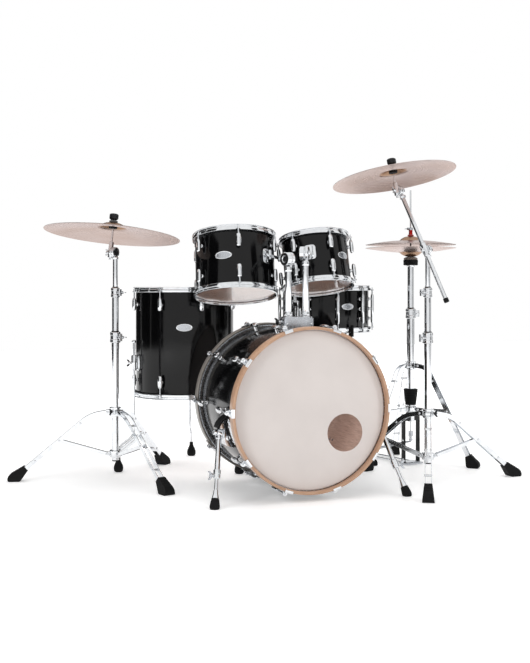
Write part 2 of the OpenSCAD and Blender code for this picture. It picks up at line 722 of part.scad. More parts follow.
// A tripod: two collars on the tube and three legs, with the tube's bore cut through them
module tripod(angles, reach, top_z, low_z, joint, collar_r, bore_r) difference() {
  union() {
    translate([0, 0, top_z - 18]) cylinder(r = collar_r, h = 34, $fn = 48);
    translate([0, 0, low_z - 14]) cylinder(r = collar_r, h = 28, $fn = 48);
    for (a = angles) rotate([0, 0, a]) tripod_leg(reach, top_z, low_z, joint, collar_r);
  }
  translate([0, 0, low_z - 40]) cylinder(r = bore_r, h = top_z - low_z + 100, $fn = 48);
}

// A tube of outside radius r with bore bore_r, from z0 to z1
module tube(r, bore_r, z0, z1) translate([0, 0, z0]) difference() {
  cylinder(r = r, h = z1 - z0, $fn = 48);
  translate([0, 0, -1]) cylinder(r = bore_r, h = z1 - z0 + 2, $fn = 48);
}

// The rubber foot at the end of one leg
foot_w = 40;
module rubber_foot(reach, top_z) {
  path = leg_path(reach, top_z);
  d = leg_dir(path);
  start = path[2] + d * fit_gap;
  translate([0, foot_w / 2, 0]) rotate([90, 0, 0]) linear_extrude(foot_w) polygon([
    start + left2(d) * 13, [reach - 13, 31], [reach - 3, 21], [reach, 10], [reach - 2, 0],
    [reach - 47, 0], [reach - 54, 7], start - left2(d) * 11
  ]);
}
module rubber_feet(at, angles, reach, top_z) translate(at) for (a = angles) rotate([0, 0, a])
  rubber_foot(reach, top_z);

hihat_collar_z = 421;
snare_collar_z = 150;
module stand_feet() color(rubber) {
  rubber_feet(ride_at, ride_leg_angles, tripod_reach, tripod_top_z);
  rubber_feet(crash_at, crash_leg_angles, tripod_reach, tripod_top_z);
  rubber_feet(hihat_at, hihat_leg_angles, hihat_reach, hihat_collar_z);
  rubber_feet(snare_at, snare_leg_angles, snare_reach, snare_collar_z);
}

// The base of a cymbal stand: tripod, base tube and its clamp
module cymbal_base(at, angles, clamp_a) color(chrome) translate(at) {
  tripod(angles, tripod_reach, tripod_top_z, tripod_low_z, 0.42, 23, base_tube_r - eps);
  tube(base_tube_r, mid_tube_r + run_gap, 75, base_top_z);
  translate([0, 0, base_top_z - 26])
    tube_clamp(mid_tube_r + run_gap, clamp_r, clamp_h + 8, clamp_a);
}
module ride_stand_base() cymbal_base(ride_at, ride_leg_angles, -60);
module crash_stand_base() cymbal_base(crash_at, crash_leg_angles, 180);

module mid_tube(at, clamp_a) color(chrome) translate(at) {
  tube(mid_tube_r, top_tube_r + run_gap, 330, mid_top_z);
  translate([0, 0, mid_top_z - 24])
    tube_clamp(top_tube_r + run_gap, clamp_r - 3, clamp_h + 4, clamp_a);
}
module ride_mid_tube() mid_tube(ride_at, -60);
module crash_mid_tube() mid_tube(crash_at, 180);

// ---- Tilters and cymbals ----

// A tilter's fixed half on top of a tube: toothed disc, neck and pin, y along the hinge
disc_half = 5.5;
module tilter_fixed(neck) rotate([90, 0, 0]) {
  cylinder(r = tilter_r, h = 2 * disc_half, center = true, $fn = 48);
  translate([0, 0, -disc_half - 8]) cylinder(r = pin_r, h = 10, $fn = 32);
  translate([-6, -neck, -disc_half]) cube([12, neck, 2 * disc_half]);
}

// A tilter's moving half: disc on the pin, sleeve, cymbal rod, seat and wing nuts
module tilter_moving(l, seat_z) rotate([0, l, 0]) {
  rotate([90, 0, 0]) difference() {
    translate([0, 0, -rod_side]) cylinder(r = tilter_r, h = rod_side - disc_half - fit_gap, $fn = 48);
    translate([0, 0, -disc_half - 8.3]) cylinder(r = pin_r + run_gap, h = 20, $fn = 32);
  }
  translate([0, rod_side, 0]) {
    translate([0, 0, -22]) cylinder(r = 9.5, h = 22 + 0.39 * seat_z, $fn = 32);
    translate([0, 0, -30]) cylinder(r = cymbal_rod_r, h = seat_z + 62, $fn = 32);
    translate([0, 0, seat_z - 13]) cylinder(r = cup_r, h = 10, $fn = 48);
    translate([0, 0, seat_z - 3 - eps]) cylinder(r1 = cup_r - 2, r2 = 7.5, h = 1.6, $fn = 48);
    translate([0, 0, seat_z + 20.8]) cylinder(r1 = 12, r2 = knob_r, h = 4, $fn = 48);
    translate([0, 0, seat_z + 24.8 - eps]) cylinder(r = knob_r, h = 14, $fn = 48);
    translate([0, 0, seat_z + 38.8 - 2 * eps]) cylinder(r1 = knob_r, r2 = 13, h = 7, $fn = 48);
    translate([0, 8, 0]) rotate([-90, 0, 0]) cylinder(r = 6, h = 10, $fn = 32);
    translate([-2.5, 12, -14]) cube([5, 14, 28]);
  }
}

// Felts below and above the bell, with room round the rod for the cymbal to rock
module felts() for (z = [0, felt_h + cymbal_t + 2 * fit_gap]) translate([0, 0, z]) difference() {
  cylinder(r = 17, h = felt_h, $fn = 48);
  translate([0, 0, -1]) cylinder(r = 6.2, h = felt_h + 2, $fn = 32);
}

// A cymbal's lower side at radius q, from the flat round its hole out to its edge
function cymbal_z(q, r, bell_r, bell_h, bow_h) = q < bell_r
  ? -bell_h * pow(max(q - 12, 0) / (bell_r - 12), 2)
  : -bell_h - bow_h * pow((q - bell_r) / (r - bell_r), 1.5);

// A cymbal with its hole's lower edge at height 0
module cymbal(r, bell_r, bell_h, bow_h) color(bronze) {
  radii = concat([cymbal_hole_r], [for (i = [0 : 8]) 12 + (bell_r - 12) * i / 8],
    [for (i = [1 : 12]) bell_r + (r - bell_r) * i / 12]);
  rotate_extrude($fn = 128) polygon(concat(
    [for (q = radii) [q, cymbal_z(q, r, bell_r, bell_h, bow_h)]],
    [for (i = [len(radii) - 1 : -1 : 0])
      [radii[i], cymbal_z(radii[i], r, bell_r, bell_h, bow_h) + cymbal_t]]
  ));
}

// Ride
ride_seat_z = 108;
ride_pivot = up(ride_at, ride_pivot_z);
module ride_tilt_frame() translate(ride_pivot) rotate([0, 0, ride_lean[1]]) children();
module ride_rod_frame() ride_tilt_frame() rotate([0, ride_lean[0], 0])
  translate([0, rod_side, ride_seat_z]) children();
module ride_top_tube() color(chrome) {
  translate(ride_at) translate([0, 0, 520])
    cylinder(r = top_tube_r, h = ride_pivot_z - 520 - tilter_r - 1.5, $fn = 48);
  ride_tilt_frame() tilter_fixed(tilter_r + 4);
}
module ride_tilter() color(chrome) ride_tilt_frame() tilter_moving(ride_lean[0], ride_seat_z);
module ride_felts() color(rubber) ride_rod_frame() felts();
module ride_cymbal() ride_rod_frame() translate([0, 0, felt_h + fit_gap])
  cymbal(ride_d / 2, 62, 22, 26);

// Crash, on a boom arm beside its clamp
crash_seat_z = 82;
boom_dir = up(compass(boom_a) * sin(boom_lean), cos(boom_lean));
boom_pivot = up(crash_at, boom_pivot_z);
boom_side_v = up(compass(boom_a + 90) * boom_side, 0);
boom_top = boom_pivot + boom_side_v + boom_dir * boom_up;
crash_pivot = boom_top + boom_dir * (tilter_r + 4);
module boom_frame() translate(boom_pivot) rotate([0, 0, boom_a]) children();
module crash_tilt_frame() translate(crash_pivot) rotate([0, 0, crash_lean[1]]) children();
module crash_rod_frame() crash_tilt_frame() rotate([0, crash_lean[0], 0])
  translate([0, rod_side, crash_seat_z]) children();

module crash_top_tube() color(chrome) {
  translate(crash_at) translate([0, 0, 520])
    cylinder(r = top_tube_r, h = boom_pivot_z - 520 - tilter_r - 1.5, $fn = 48);
  boom_frame() {
    tilter_fixed(tilter_r + 4);
    translate([0, -disc_half, 0]) rotate([90, 0, 0]) cylinder(r = 6, h = 12, $fn = 32);
    translate([-2.5, -disc_half - 20, -14]) cube([5, 12, 28]);
  }
}

// The clamp turns on the tube's disc and grips the arm
module crash_clamp() color(chrome) boom_frame() rotate([0, boom_lean, 0]) difference() {
  union() {
    rotate([90, 0, 0]) translate([0, 0, -boom_side])
      cylinder(r = tilter_r, h = boom_side - disc_half - fit_gap, $fn = 48);
    translate([0, boom_side, -28]) cylinder(r = 11.5, h = 56, $fn = 48);
    translate([0, boom_side + 10, 0]) rotate([-90, 0, 0]) cylinder(r = 6, h = 12, $fn = 32);
    translate([-2.5, boom_side + 18, -15]) cube([5, 12, 30]);
  }
  translate([0, boom_side, -40]) cylinder(r = boom_r + run_gap, h = 80, $fn = 32);
  rotate([90, 0, 0]) translate([0, 0, -disc_half - 8.3])
    cylinder(r = pin_r + run_gap, h = 20, $fn = 32);
}

// The boom arm, its rubber end and the fixed half of the tilter on its top
module crash_arm() {
  foot = boom_pivot + boom_side_v - boom_dir * boom_down;
  color(chrome) {
    bar(foot, boom_top, boom_r);
    translate(crash_pivot) rotate([0, 0, crash_lean[1]]) rotate([0, boom_lean, 0])
      tilter_fixed(tilter_r + 8);
  }
  color(rubber) bar(foot - boom_dir * 14, foot + boom_dir * eps, boom_r + 2);
}
module crash_tilter() color(chrome) crash_tilt_frame() tilter_moving(crash_lean[0], crash_seat_z);
module crash_felts() color(rubber) crash_rod_frame() felts();
module crash_cymbal() crash_rod_frame() translate([0, 0, felt_h + fit_gap])
  cymbal(crash_d / 2, 56, 20, 20);

// ---- Snare stand ----

// The basket's hinge frame: x toward the side the drum tips to, y along the hinge
snare_hinge_z = 485;
snare_tip_a = 61.5;
basket_angles = [281, 41, 161];
module basket_frame() translate(up(snare_at, snare_hinge_z)) rotate([0, 0, snare_tip_a]) children();

module snare_stand_base() color(chrome) translate(snare_at) {
  tripod(snare_leg_angles, snare_reach, snare_collar_z, 70, 0.45, 20, mid_tube_r - eps);
  tube(mid_tube_r, top_tube_r + run_gap, 50, 330);
  translate([0, 0, 308]) tube_clamp(top_tube_r + run_gap, clamp_r - 3, clamp_h, -100);
}

module snare_stand_tube() color(chrome) {
  translate(up(snare_at, 190)) cylinder(r = top_tube_r, h = snare_hinge_z - 15 - 190, $fn = 48);
  basket_frame() {
    rotate([90, 0, 0]) cylinder(r = 13, h = 8, center = true, $fn = 48);
    rotate([90, 0, 0]) cylinder(r = 4, h = 28, center = true, $fn = 32);
    translate([-9, -4, -20]) cube([18, 8, 20]);
    translate([0, -12, 0]) rotate([90, 0, 0]) cylinder(r = 7, h = 6, $fn = 32);
    translate([-14, -22, -2.5]) cube([28, 8, 5]);
  }
}

// Clevis, hub and three arms; each arm has a rubber pad below the hoop and a finger beside it
module snare_basket() {
  color(chrome) basket_frame() difference() {
    union() {
      for (y = [-10.3, 4.3]) translate([0, y + 6, 0]) rotate([90, 0, 0]) cylinder(r = 13, h = 6, $fn = 48);
      for (y = [-10.3, 4.3]) translate([-11, y, 0]) cube([22, 6, 20]);
      translate([0, 0, 14.5]) cylinder(r = 21, h = 20, $fn = 48);
    }
    rotate([90, 0, 0]) cylinder(r = 4 + run_gap, h = 40, center = true, $fn = 32);
  }
  hoop_z = snare_base_z - hoop_top - snare_hinge_z;
  finger_x = snare_d / 2 + 17;
  elbow = [finger_x - 30, 0, hoop_z - 18];
  translate(up(snare_at, snare_hinge_z)) for (a = basket_angles) rotate([0, 0, a]) {
    color(chrome) {
      bar([10, 0, 26], elbow, 5.5);
      translate(elbow) sphere(r = 6.2, $fn = 32);
      bar(elbow, [finger_x, 0, elbow.z], 5.5);
      translate([finger_x, 0, elbow.z - 6.5]) cylinder(r = 6.4, h = 12, $fn = 32);
      translate([finger_x, 0, elbow.z]) cylinder(r = 4.5, h = 46, $fn = 32);
    }
    color(rubber) {
      translate([finger_x, 0, elbow.z + 5]) cylinder(r = 6, h = 26, $fn = 32);
      translate([finger_x - 14, 0, elbow.z]) cylinder(r = 5, h = 17.5, $fn = 32);
    }
  }
}

// ---- Hi-hat ----

module hihat_frame() translate(hihat_at) rotate([0, 0, hihat_board_a]) children();

// Tripod, base tube with its clamp and sleeve, and the pedal's side, base and heel plates
hihat_low_z = 234;
bridge_z = 186;
module hihat_stand_base() {
  color(chrome) translate(hihat_at) {
    tripod(hihat_leg_angles, hihat_reach, hihat_collar_z, hihat_low_z, 0.46, 24, hihat_base_r - eps);
    tube(hihat_base_r, hihat_tube_r + run_gap, bridge_z - 4, 640);
    translate([0, 0, 619]) tube_clamp(hihat_tube_r + run_gap, clamp_r + 1, clamp_h + 8, -18);
  }
  color(rubber) translate(up(hihat_at, hihat_low_z + 18)) difference() {
    cylinder(r1 = 23, r2 = 31, h = 68, $fn = 48);
    translate([0, 0, -1]) cylinder(r = hihat_base_r - eps, h = 80, $fn = 48);
  }
  color(steel) hihat_frame() {
    difference() {
      translate([-13, -hihat_frame_w / 2, bridge_z]) cube([26, hihat_frame_w, 26]);
      translate([0, 0, bridge_z - 10]) cylinder(r = hihat_base_r - eps, h = 80, $fn = 48);
    }
    for (y = [-hihat_frame_w / 2, hihat_frame_w / 2 - 4])
      translate([-12, y, 8]) cube([24, 4, bridge_z + 12]);
    translate([-32, -hihat_frame_w / 2 - 4, 3]) cube([62, hihat_frame_w + 8, 9]);
    for (y = [-27, 27]) bar([28, y, 7], hihat_heel + [-20, y, -7], 3);
    translate(hihat_heel + [-26, -38, -12]) cube([60, 76, 5]);
    for (y = [-38, 32]) translate(hihat_heel + [-7, y, -12]) cube([14, 6, 18]);
    translate(hihat_heel) rotate([90, 0, 0]) cylinder(r = 2.5, h = 72, center = true, $fn = 24);
  }
}

// The upper tube with the seat for the lower cymbal
hat_cup_z = hat_seat_z - 28;
module hihat_upper_tube() translate(hihat_at) {
  color(chrome) {
    tube(hihat_tube_r, hihat_tube_r - 2, 440, hat_cup_z - 11);
    translate([0, 0, hat_cup_z - 16]) difference() {
      cylinder(r = 15, h = 16, $fn = 48);
      translate([0, 0, -1]) cylinder(r = hihat_rod_r + run_gap, h = 18, $fn = 32);
    }
  }
  color(rubber) translate([0, 0, hat_cup_z - eps]) difference() {
    union() {
      cylinder(r1 = 15, r2 = 31, h = 4, $fn = 48);
      translate([0, 0, 4 - eps]) cylinder(r = 31, h = 12, $fn = 48);
      cylinder(r = 15, h = hat_seat_z - hat_cup_z - fit_gap, $fn = 48);
    }
    translate([0, 0, -1]) cylinder(r = hihat_rod_r + run_gap, h = 40, $fn = 32);
  }
}

hat_h = hat_bell_h + hat_bow_h;
hat_top_z = hat_seat_z + cymbal_t + 2 * hat_h + hat_gap;
module hihat_bottom_cymbal() translate(up(hihat_at, hat_seat_z + cymbal_t)) mirror([0, 0, 1])
  cymbal(hat_d / 2, hat_bell_r, hat_bell_h, hat_bow_h);
module hihat_top_cymbal() translate(up(hihat_at, hat_top_z))
  cymbal(hat_d / 2, hat_bell_r, hat_bell_h, hat_bow_h);

// The pull rod with its link at the pedal and the clutch that carries the upper cymbal
module hihat_rod() {
  color(chrome) translate(hihat_at) {
    translate([0, 0, 130]) cylinder(r = hihat_rod_r, h = hihat_top_z - 130, $fn = 32);
    translate([0, 0, hat_top_z - 14]) cylinder(r = 5.5, h = 52, $fn = 32);
    translate([0, 0, hat_top_z - 16]) cylinder(r = 9, h = 8, $fn = 32);
    translate([0, 0, hat_top_z + 28]) cylinder(r = 9, h = 10, $fn = 32);
    rotate([0, 0, -160]) {
      translate([4, 0, hat_top_z + 33]) rotate([0, 90, 0]) cylinder(r = 3.5, h = 14, $fn = 24);
      translate([14, -12, hat_top_z + 30.5]) cube([10, 24, 5]);
    }
  }
  color("#b8231c") translate(up(hihat_at, hat_top_z)) {
    for (z = [-8 + eps, cymbal_t + fit_gap]) translate([0, 0, z]) difference() {
      cylinder(r = 13, h = 8 - fit_gap - eps, $fn = 48);
      translate([0, 0, -1]) cylinder(r = 5.4, h = 10, $fn = 32);
    }
    translate([0, 0, 9]) cylinder(r = 8, h = 20, $fn = 32);
  }
  color(steel) hihat_frame() {
    translate([-7, -8, 118]) cube([14, 16, 22]);
    translate([-3, -6, hihat_toe.z + 8]) cube([6, 12, 24]);
  }
}

// A pedal board from its heel hinge to its toe, in the plane of x and z, with the hinge eye
module pedal_board(heel, toe, half_w, toe_half, eye_half) {
  d = toe - heel;
  flat = norm([d.x, d.y]);
  along = norm(d);
  heel_half = min(half_w, eye_half) - 1;
  translate(heel) rotate([0, -atan2(d.z, flat), atan2(d.y, d.x)]) difference() {
    union() {
      translate([4, 0, 4]) linear_extrude(6) polygon([
        [0, -heel_half], [8, -heel_half], [18, -half_w], [along * 0.72, -half_w],
        [along - 4, -toe_half], [along - 4, toe_half],
        [along * 0.72, half_w], [18, half_w], [8, heel_half], [0, heel_half]
      ]);
      rotate([90, 0, 0]) cylinder(r = 6.5, h = 2 * eye_half, center = true, $fn = 32);
    }
    rotate([90, 0, 0]) cylinder(r = 2.5 + run_gap, h = 200, center = true, $fn = 24);
  }
}
module hihat_footboard() color(steel) hihat_frame() {
  pedal_board(hihat_heel, hihat_toe, 37, 18, 31.5);
}

// ---- Bass drum pedal ----

module kick_at() translate(bass_at) children();

// Base plate, hoop clamp, uprights with bearings for the axle, and the heel plate
module kick_pedal_frame() color(steel) kick_at() {
  clamp_y = bass_length + 2;
  difference() {
    union() {
      translate([-46, bass_length - 6, 1]) cube([92, kick_heel.y - bass_length + 30, 6]);
      for (x = [-58, 46]) {
        translate([x, kick_axle.y - 10, 1]) cube([12, 20, kick_axle.z]);
        translate([x, kick_axle.y, kick_axle.z]) rotate([0, 90, 0]) cylinder(r = 13, h = 12, $fn = 48);
      }
      translate([-58, kick_axle.y - 10, 1]) cube([116, 20, 6]);
    }
    translate([-70, kick_axle.y, kick_axle.z]) rotate([0, 90, 0])
      cylinder(r = 5 + run_gap, h = 140, $fn = 32);
  }
  translate([-20, bass_length - 24, 6.5]) cube([40, 50, bass_lift - 6.5 - fit_gap]);
  translate([-20, clamp_y, 6.5]) cube([40, 24, 44]);
  translate([-18, bass_length - 20, bass_z - bass_r - 3 + 1.2]) cube([36, 30, 9]);
  bar([0, clamp_y + 12, 48], [0, clamp_y + 12, 66], 4);
  translate([-14, clamp_y + 9.5, 62]) cube([28, 5, 12]);
  for (x = [-46, 38]) translate([x, kick_heel.y - 7, 5]) cube([8, 14, 17]);
  translate(kick_heel) rotate([0, 90, 0]) cylinder(r = 2.5, h = 88, center = true, $fn = 24);
}

// The footboard with the chain that rises from its toe to the cam
module kick_footboard() color(steel) kick_at() {
  pedal_board(kick_heel, kick_toe, 35, 16, 37.5);
  translate([-5, kick_toe.y - 4, kick_toe.z]) cube([10, 3, 50]);
}

// The axle with its cam, the beater rod and the felt beater
module kick_beater() kick_at() translate(kick_axle) {
  color(chrome) {
    rotate([0, 90, 0]) cylinder(r = 5, h = 124, center = true, $fn = 32);
    rotate([0, 90, 0]) cylinder(r = 12, h = 60, center = true, $fn = 48);
    translate([-6, 0, 0]) rotate([0, 90, 0]) cylinder(r = 26, h = 12, $fn = 48);
    rotate([-beater_back, 0, 0]) {
      cylinder(r = 4, h = beater_len, $fn = 32);
      translate([0, 0, 5]) cylinder(r = 9, h = 22, $fn = 32);
    }
  }
  color(film_white) rotate([-beater_back, 0, 0]) translate([0, 0, beater_len]) difference() {
    rotate([90, 0, 0]) cylinder(r = beater_r, h = beater_w, center = true, $fn = 48);
    translate([0, 0, -2 * beater_r]) cylinder(r = 4 + eps, h = 2 * beater_r + eps, $fn = 32);
  }
}

bass_shell();
bass_hoops();
bass_heads();
bass_lugs();
bass_claws();
bass_brackets();
floor_tom_shell();
floor_tom_hoops();
floor_tom_heads();
floor_tom_lugs();
ride_stand_base();
crash_stand_base();
hihat_stand_base();
snare_stand_base();
stand_feet();
kick_pedal_frame();
spur_left();
spur_right();
floor_tom_leg_left();
floor_tom_leg_rear();
floor_tom_leg_right();
tom_post_left();
tom_post_right();
tom_12_shell();
tom_12_hoops();
tom_12_heads();
tom_12_lugs();
tom_12_mount();
tom_10_shell();
tom_10_hoops();
tom_10_heads();
tom_10_lugs();
tom_10_mount();
snare_shell();
snare_hoops();
snare_heads();
snare_lugs();
snare_wires();
strainer_lever();
snare_stand_tube();
snare_basket();
ride_mid_tube();
ride_top_tube();
ride_tilter();
ride_felts();
ride_cymbal();
crash_mid_tube();
crash_top_tube();
crash_clamp();
crash_arm();
crash_tilter();
crash_felts();
crash_cymbal();
hihat_upper_tube();
hihat_bottom_cymbal();
hihat_rod();
hihat_top_cymbal();
hihat_footboard();
kick_footboard();
kick_beater();
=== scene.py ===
import json
from copy import copy
from math import atan2, copysign, cos, degrees, hypot, pi, radians, sin

import bmesh
import bpy
from mathutils import Matrix, Vector


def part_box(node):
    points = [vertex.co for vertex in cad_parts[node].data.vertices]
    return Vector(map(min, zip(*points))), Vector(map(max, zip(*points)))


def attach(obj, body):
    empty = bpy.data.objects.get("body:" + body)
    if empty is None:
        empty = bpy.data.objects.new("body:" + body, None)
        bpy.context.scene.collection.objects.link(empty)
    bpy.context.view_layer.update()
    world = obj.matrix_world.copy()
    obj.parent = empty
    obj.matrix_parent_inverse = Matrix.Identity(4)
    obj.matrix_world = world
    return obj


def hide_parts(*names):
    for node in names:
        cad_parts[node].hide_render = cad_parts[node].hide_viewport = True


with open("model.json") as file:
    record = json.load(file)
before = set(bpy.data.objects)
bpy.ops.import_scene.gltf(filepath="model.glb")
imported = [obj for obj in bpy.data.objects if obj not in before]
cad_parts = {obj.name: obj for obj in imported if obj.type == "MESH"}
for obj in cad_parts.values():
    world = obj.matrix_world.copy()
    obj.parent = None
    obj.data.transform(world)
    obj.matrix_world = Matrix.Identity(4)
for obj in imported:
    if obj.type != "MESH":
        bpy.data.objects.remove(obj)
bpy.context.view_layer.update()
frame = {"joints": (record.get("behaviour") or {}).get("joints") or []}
MM = 0.001

# ---- Places, taken from the frame, in millimetres ----

JOINTS = {j["name"]: j for j in frame["joints"]}


def pivot(joint):
    return Vector(JOINTS[joint]["pos_m"]) / MM


def middle(node):
    low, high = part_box(node)
    return (low + high) / 2 / MM


def floor_point(v, z=0.0):
    return Vector((v.x, v.y, z))


# ---- Sizes, in millimetres ----

PLY = 7.5
BASS_R, BASS_DEPTH, BASS_LENGTH = 279.5, 457.0, 507.0
BASS_HOOP_R = BASS_R + 14.5
ROD_OFF = 15.0
TOM_12_R, TOM_12_DEPTH, TOM_12_LEAN = 152.5, 222.0, (13.0, 80.0)
TOM_10_R, TOM_10_DEPTH, TOM_10_LEAN = 127.0, 186.0, (14.0, 93.0)
FLOOR_R, FLOOR_DEPTH = 203.0, 431.0
SNARE_R, SNARE_DEPTH = 178.0, 170.0
RIDE_LEAN, CRASH_LEAN = (7.6, 35.0), (11.2, 122.0)
BOOM_LEAN, BOOM_AZ, BOOM_SIDE = 25.7, 122.0, 21.5
ROD_SIDE = 26.0
RIDE_SEAT, CRASH_SEAT = 108.0, 82.0
DISC_R, DISC_HALF = 20.0, 5.5
TOM_DISC_R, TOM_HALF_W, POST_HALF_W = 25.0, 20.0, 13.0
TRIPOD_REACH, TRIPOD_TOP, TRIPOD_LOW = 412.0, 266.0, 100.0
STRIP_GAP, STRIP_T, STRIP_W = 19.0, 3.0, 17.0
FOOT_W, FOOT_MOUTH_Z = 40.0, 50.0
FLOOR_LUG_A, SNARE_LUG_A, STRAINER_A, BASS_LUG_A = 229, 263, 209, -72
FLOOR_LEGS = {"left": 188, "rear": 70, "right": 305}
RIDE_LEGS, CRASH_LEGS, SNARE_LEGS = (168, -72, 48), (-117, 2, 122), (-3, 117, 237)
SNARE_REACH, SNARE_TOP, SNARE_BORE = 225, 150, 12
BASE_R, BASE_BORE, MID_R, MID_BORE, TOP_R = 14.3, 12.76, 12.7, 9.56, 9.5
PORT_R, PORT_OUT, PORT_A, BASS_LUG_IN = 67, 155, 33, 130
FLOOR_BRACKET_Z, FLOOR_FOOT_R = 442, 290
HOLDER_LOW, HOLDER_TOP, HOLDER_BACK = 592, 638, 165
WIRES, COIL_POINTS, COIL_PITCH = 20, 186, 1.6
HIHAT_LEGS, HIHAT_REACH, HIHAT_COLLAR_Z, HIHAT_BOARD_A = (-40, -160, 80), 292.0, 421.0, 105.0
# Cymbals: radius, radius of the bell, its height, and the drop of the bow
RIDE_SHAPE, CRASH_SHAPE, HIHAT_SHAPE = (266.5, 62, 22, 26), (241.5, 56, 20, 20), (190.5, 48, 18, 17)
CYMBAL_T, HIHAT_GAP, FELT_TOP = 1.4, 70.0, 8.3
# Footboards: how far the toe lies out from the heel, and how high above it
HIHAT_BOARD, KICK_BOARD = (273, 74), (197, 104)

BASS = middle("bass_shell")
BASS.y -= BASS_LENGTH / 2
FLOOR_TOM = middle("floor_tom_shell")
SNARE = middle("snare_shell")
TOM_12, TOM_10 = middle("tom_12_shell"), middle("tom_10_shell")
POST_LEFT, POST_RIGHT = pivot("tom_12_tilt"), pivot("tom_10_tilt")
RIDE, CRASH = pivot("ride_tilt"), pivot("boom_lean")
CRASH_TOP = pivot("crash_tilt")
HIHAT = pivot("hihat_bottom_spin")

# ---- Placing ----

HERE = Matrix.Identity(4)


def to(v):
    return Matrix.Translation(v)


def up(z):
    return to((0, 0, z))


def at(x, y, z):
    return to((x, y, z))


def rx(deg):
    return Matrix.Rotation(radians(deg), 4, "X")


def ry(deg):
    return Matrix.Rotation(radians(deg), 4, "Y")


def rz(deg):
    return Matrix.Rotation(radians(deg), 4, "Z")


def leaned(v, lean):
    return to(v) @ rz(lean[1]) @ ry(lean[0]) @ rz(-lean[1])


def facing(way):
    """Turns z to a direction."""
    return way.to_track_quat("Z", "Y").to_matrix().to_4x4()


def compass(deg):
    return Vector((cos(radians(deg)), sin(radians(deg)), 0))


FLIP = Matrix.Scale(-1, 4, (0, 0, 1))
MIRROR_X = Matrix.Scale(-1, 4, (1, 0, 0))
# Turns an outline's x and y into y and z, so that it is drawn out along x
SIDEWAYS = Matrix(((0, 0, 1, 0), (1, 0, 0, 0), (0, 1, 0, 0), (0, 0, 0, 1)))

# ---- Making meshes ----


def rounded(points, radius, steps=3, closed=True):
    """The outline with each corner turned into a short arc."""
    out = []
    n = len(points)
    for i, p in enumerate(points):
        p = Vector(p)
        if not closed and i in (0, n - 1):
            out.append(tuple(p))
            continue
        a, b = Vector(points[i - 1]) - p, Vector(points[(i + 1) % n]) - p
        reach = min(radius, a.length * 0.45, b.length * 0.45)
        if reach < 0.02 or abs(a.normalized().dot(b.normalized())) > 0.999:
            out.append(tuple(p))
            continue
        start, end = p + a.normalized() * reach, p + b.normalized() * reach
        for k in range(steps + 1):
            t = k / steps
            q = start * (1 - t) ** 2 + p * 2 * t * (1 - t) + end * t * t
            out.append(tuple(q))
    return out


def oval(half_x, half_y, count=24):
    turn = 2 * pi / count
    return [(half_x * cos(i * turn), half_y * sin(i * turn)) for i in range(count)]


def band(path, thick):
    """The outline of a strip of even thickness along an open path."""
    left, right = [], []
    for i, p in enumerate(path):
        before = Vector(path[max(i - 1, 0)])
        after = Vector(path[min(i + 1, len(path) - 1)])
        p = Vector(p)
        a = (p - before).normalized() if i else (after - p).normalized()
        b = (after - p).normalized() if i < len(path) - 1 else a
        m = (Vector((-a.y, a.x)) + Vector((-b.y, b.x))) / (1 + a.dot(b)) * thick / 2
        left.append(tuple(p + m))
        right.append(tuple(p - m))
    return left + right[::-1]


def soft_edges(obj, width):
    bevel = obj.modifiers.new("soft_edges", "BEVEL")
    bevel.width = width * MM
    bevel.segments = 2
    bevel.limit_method = "ANGLE"
    bevel.angle_limit = radians(50)
    bevel.harden_normals = True


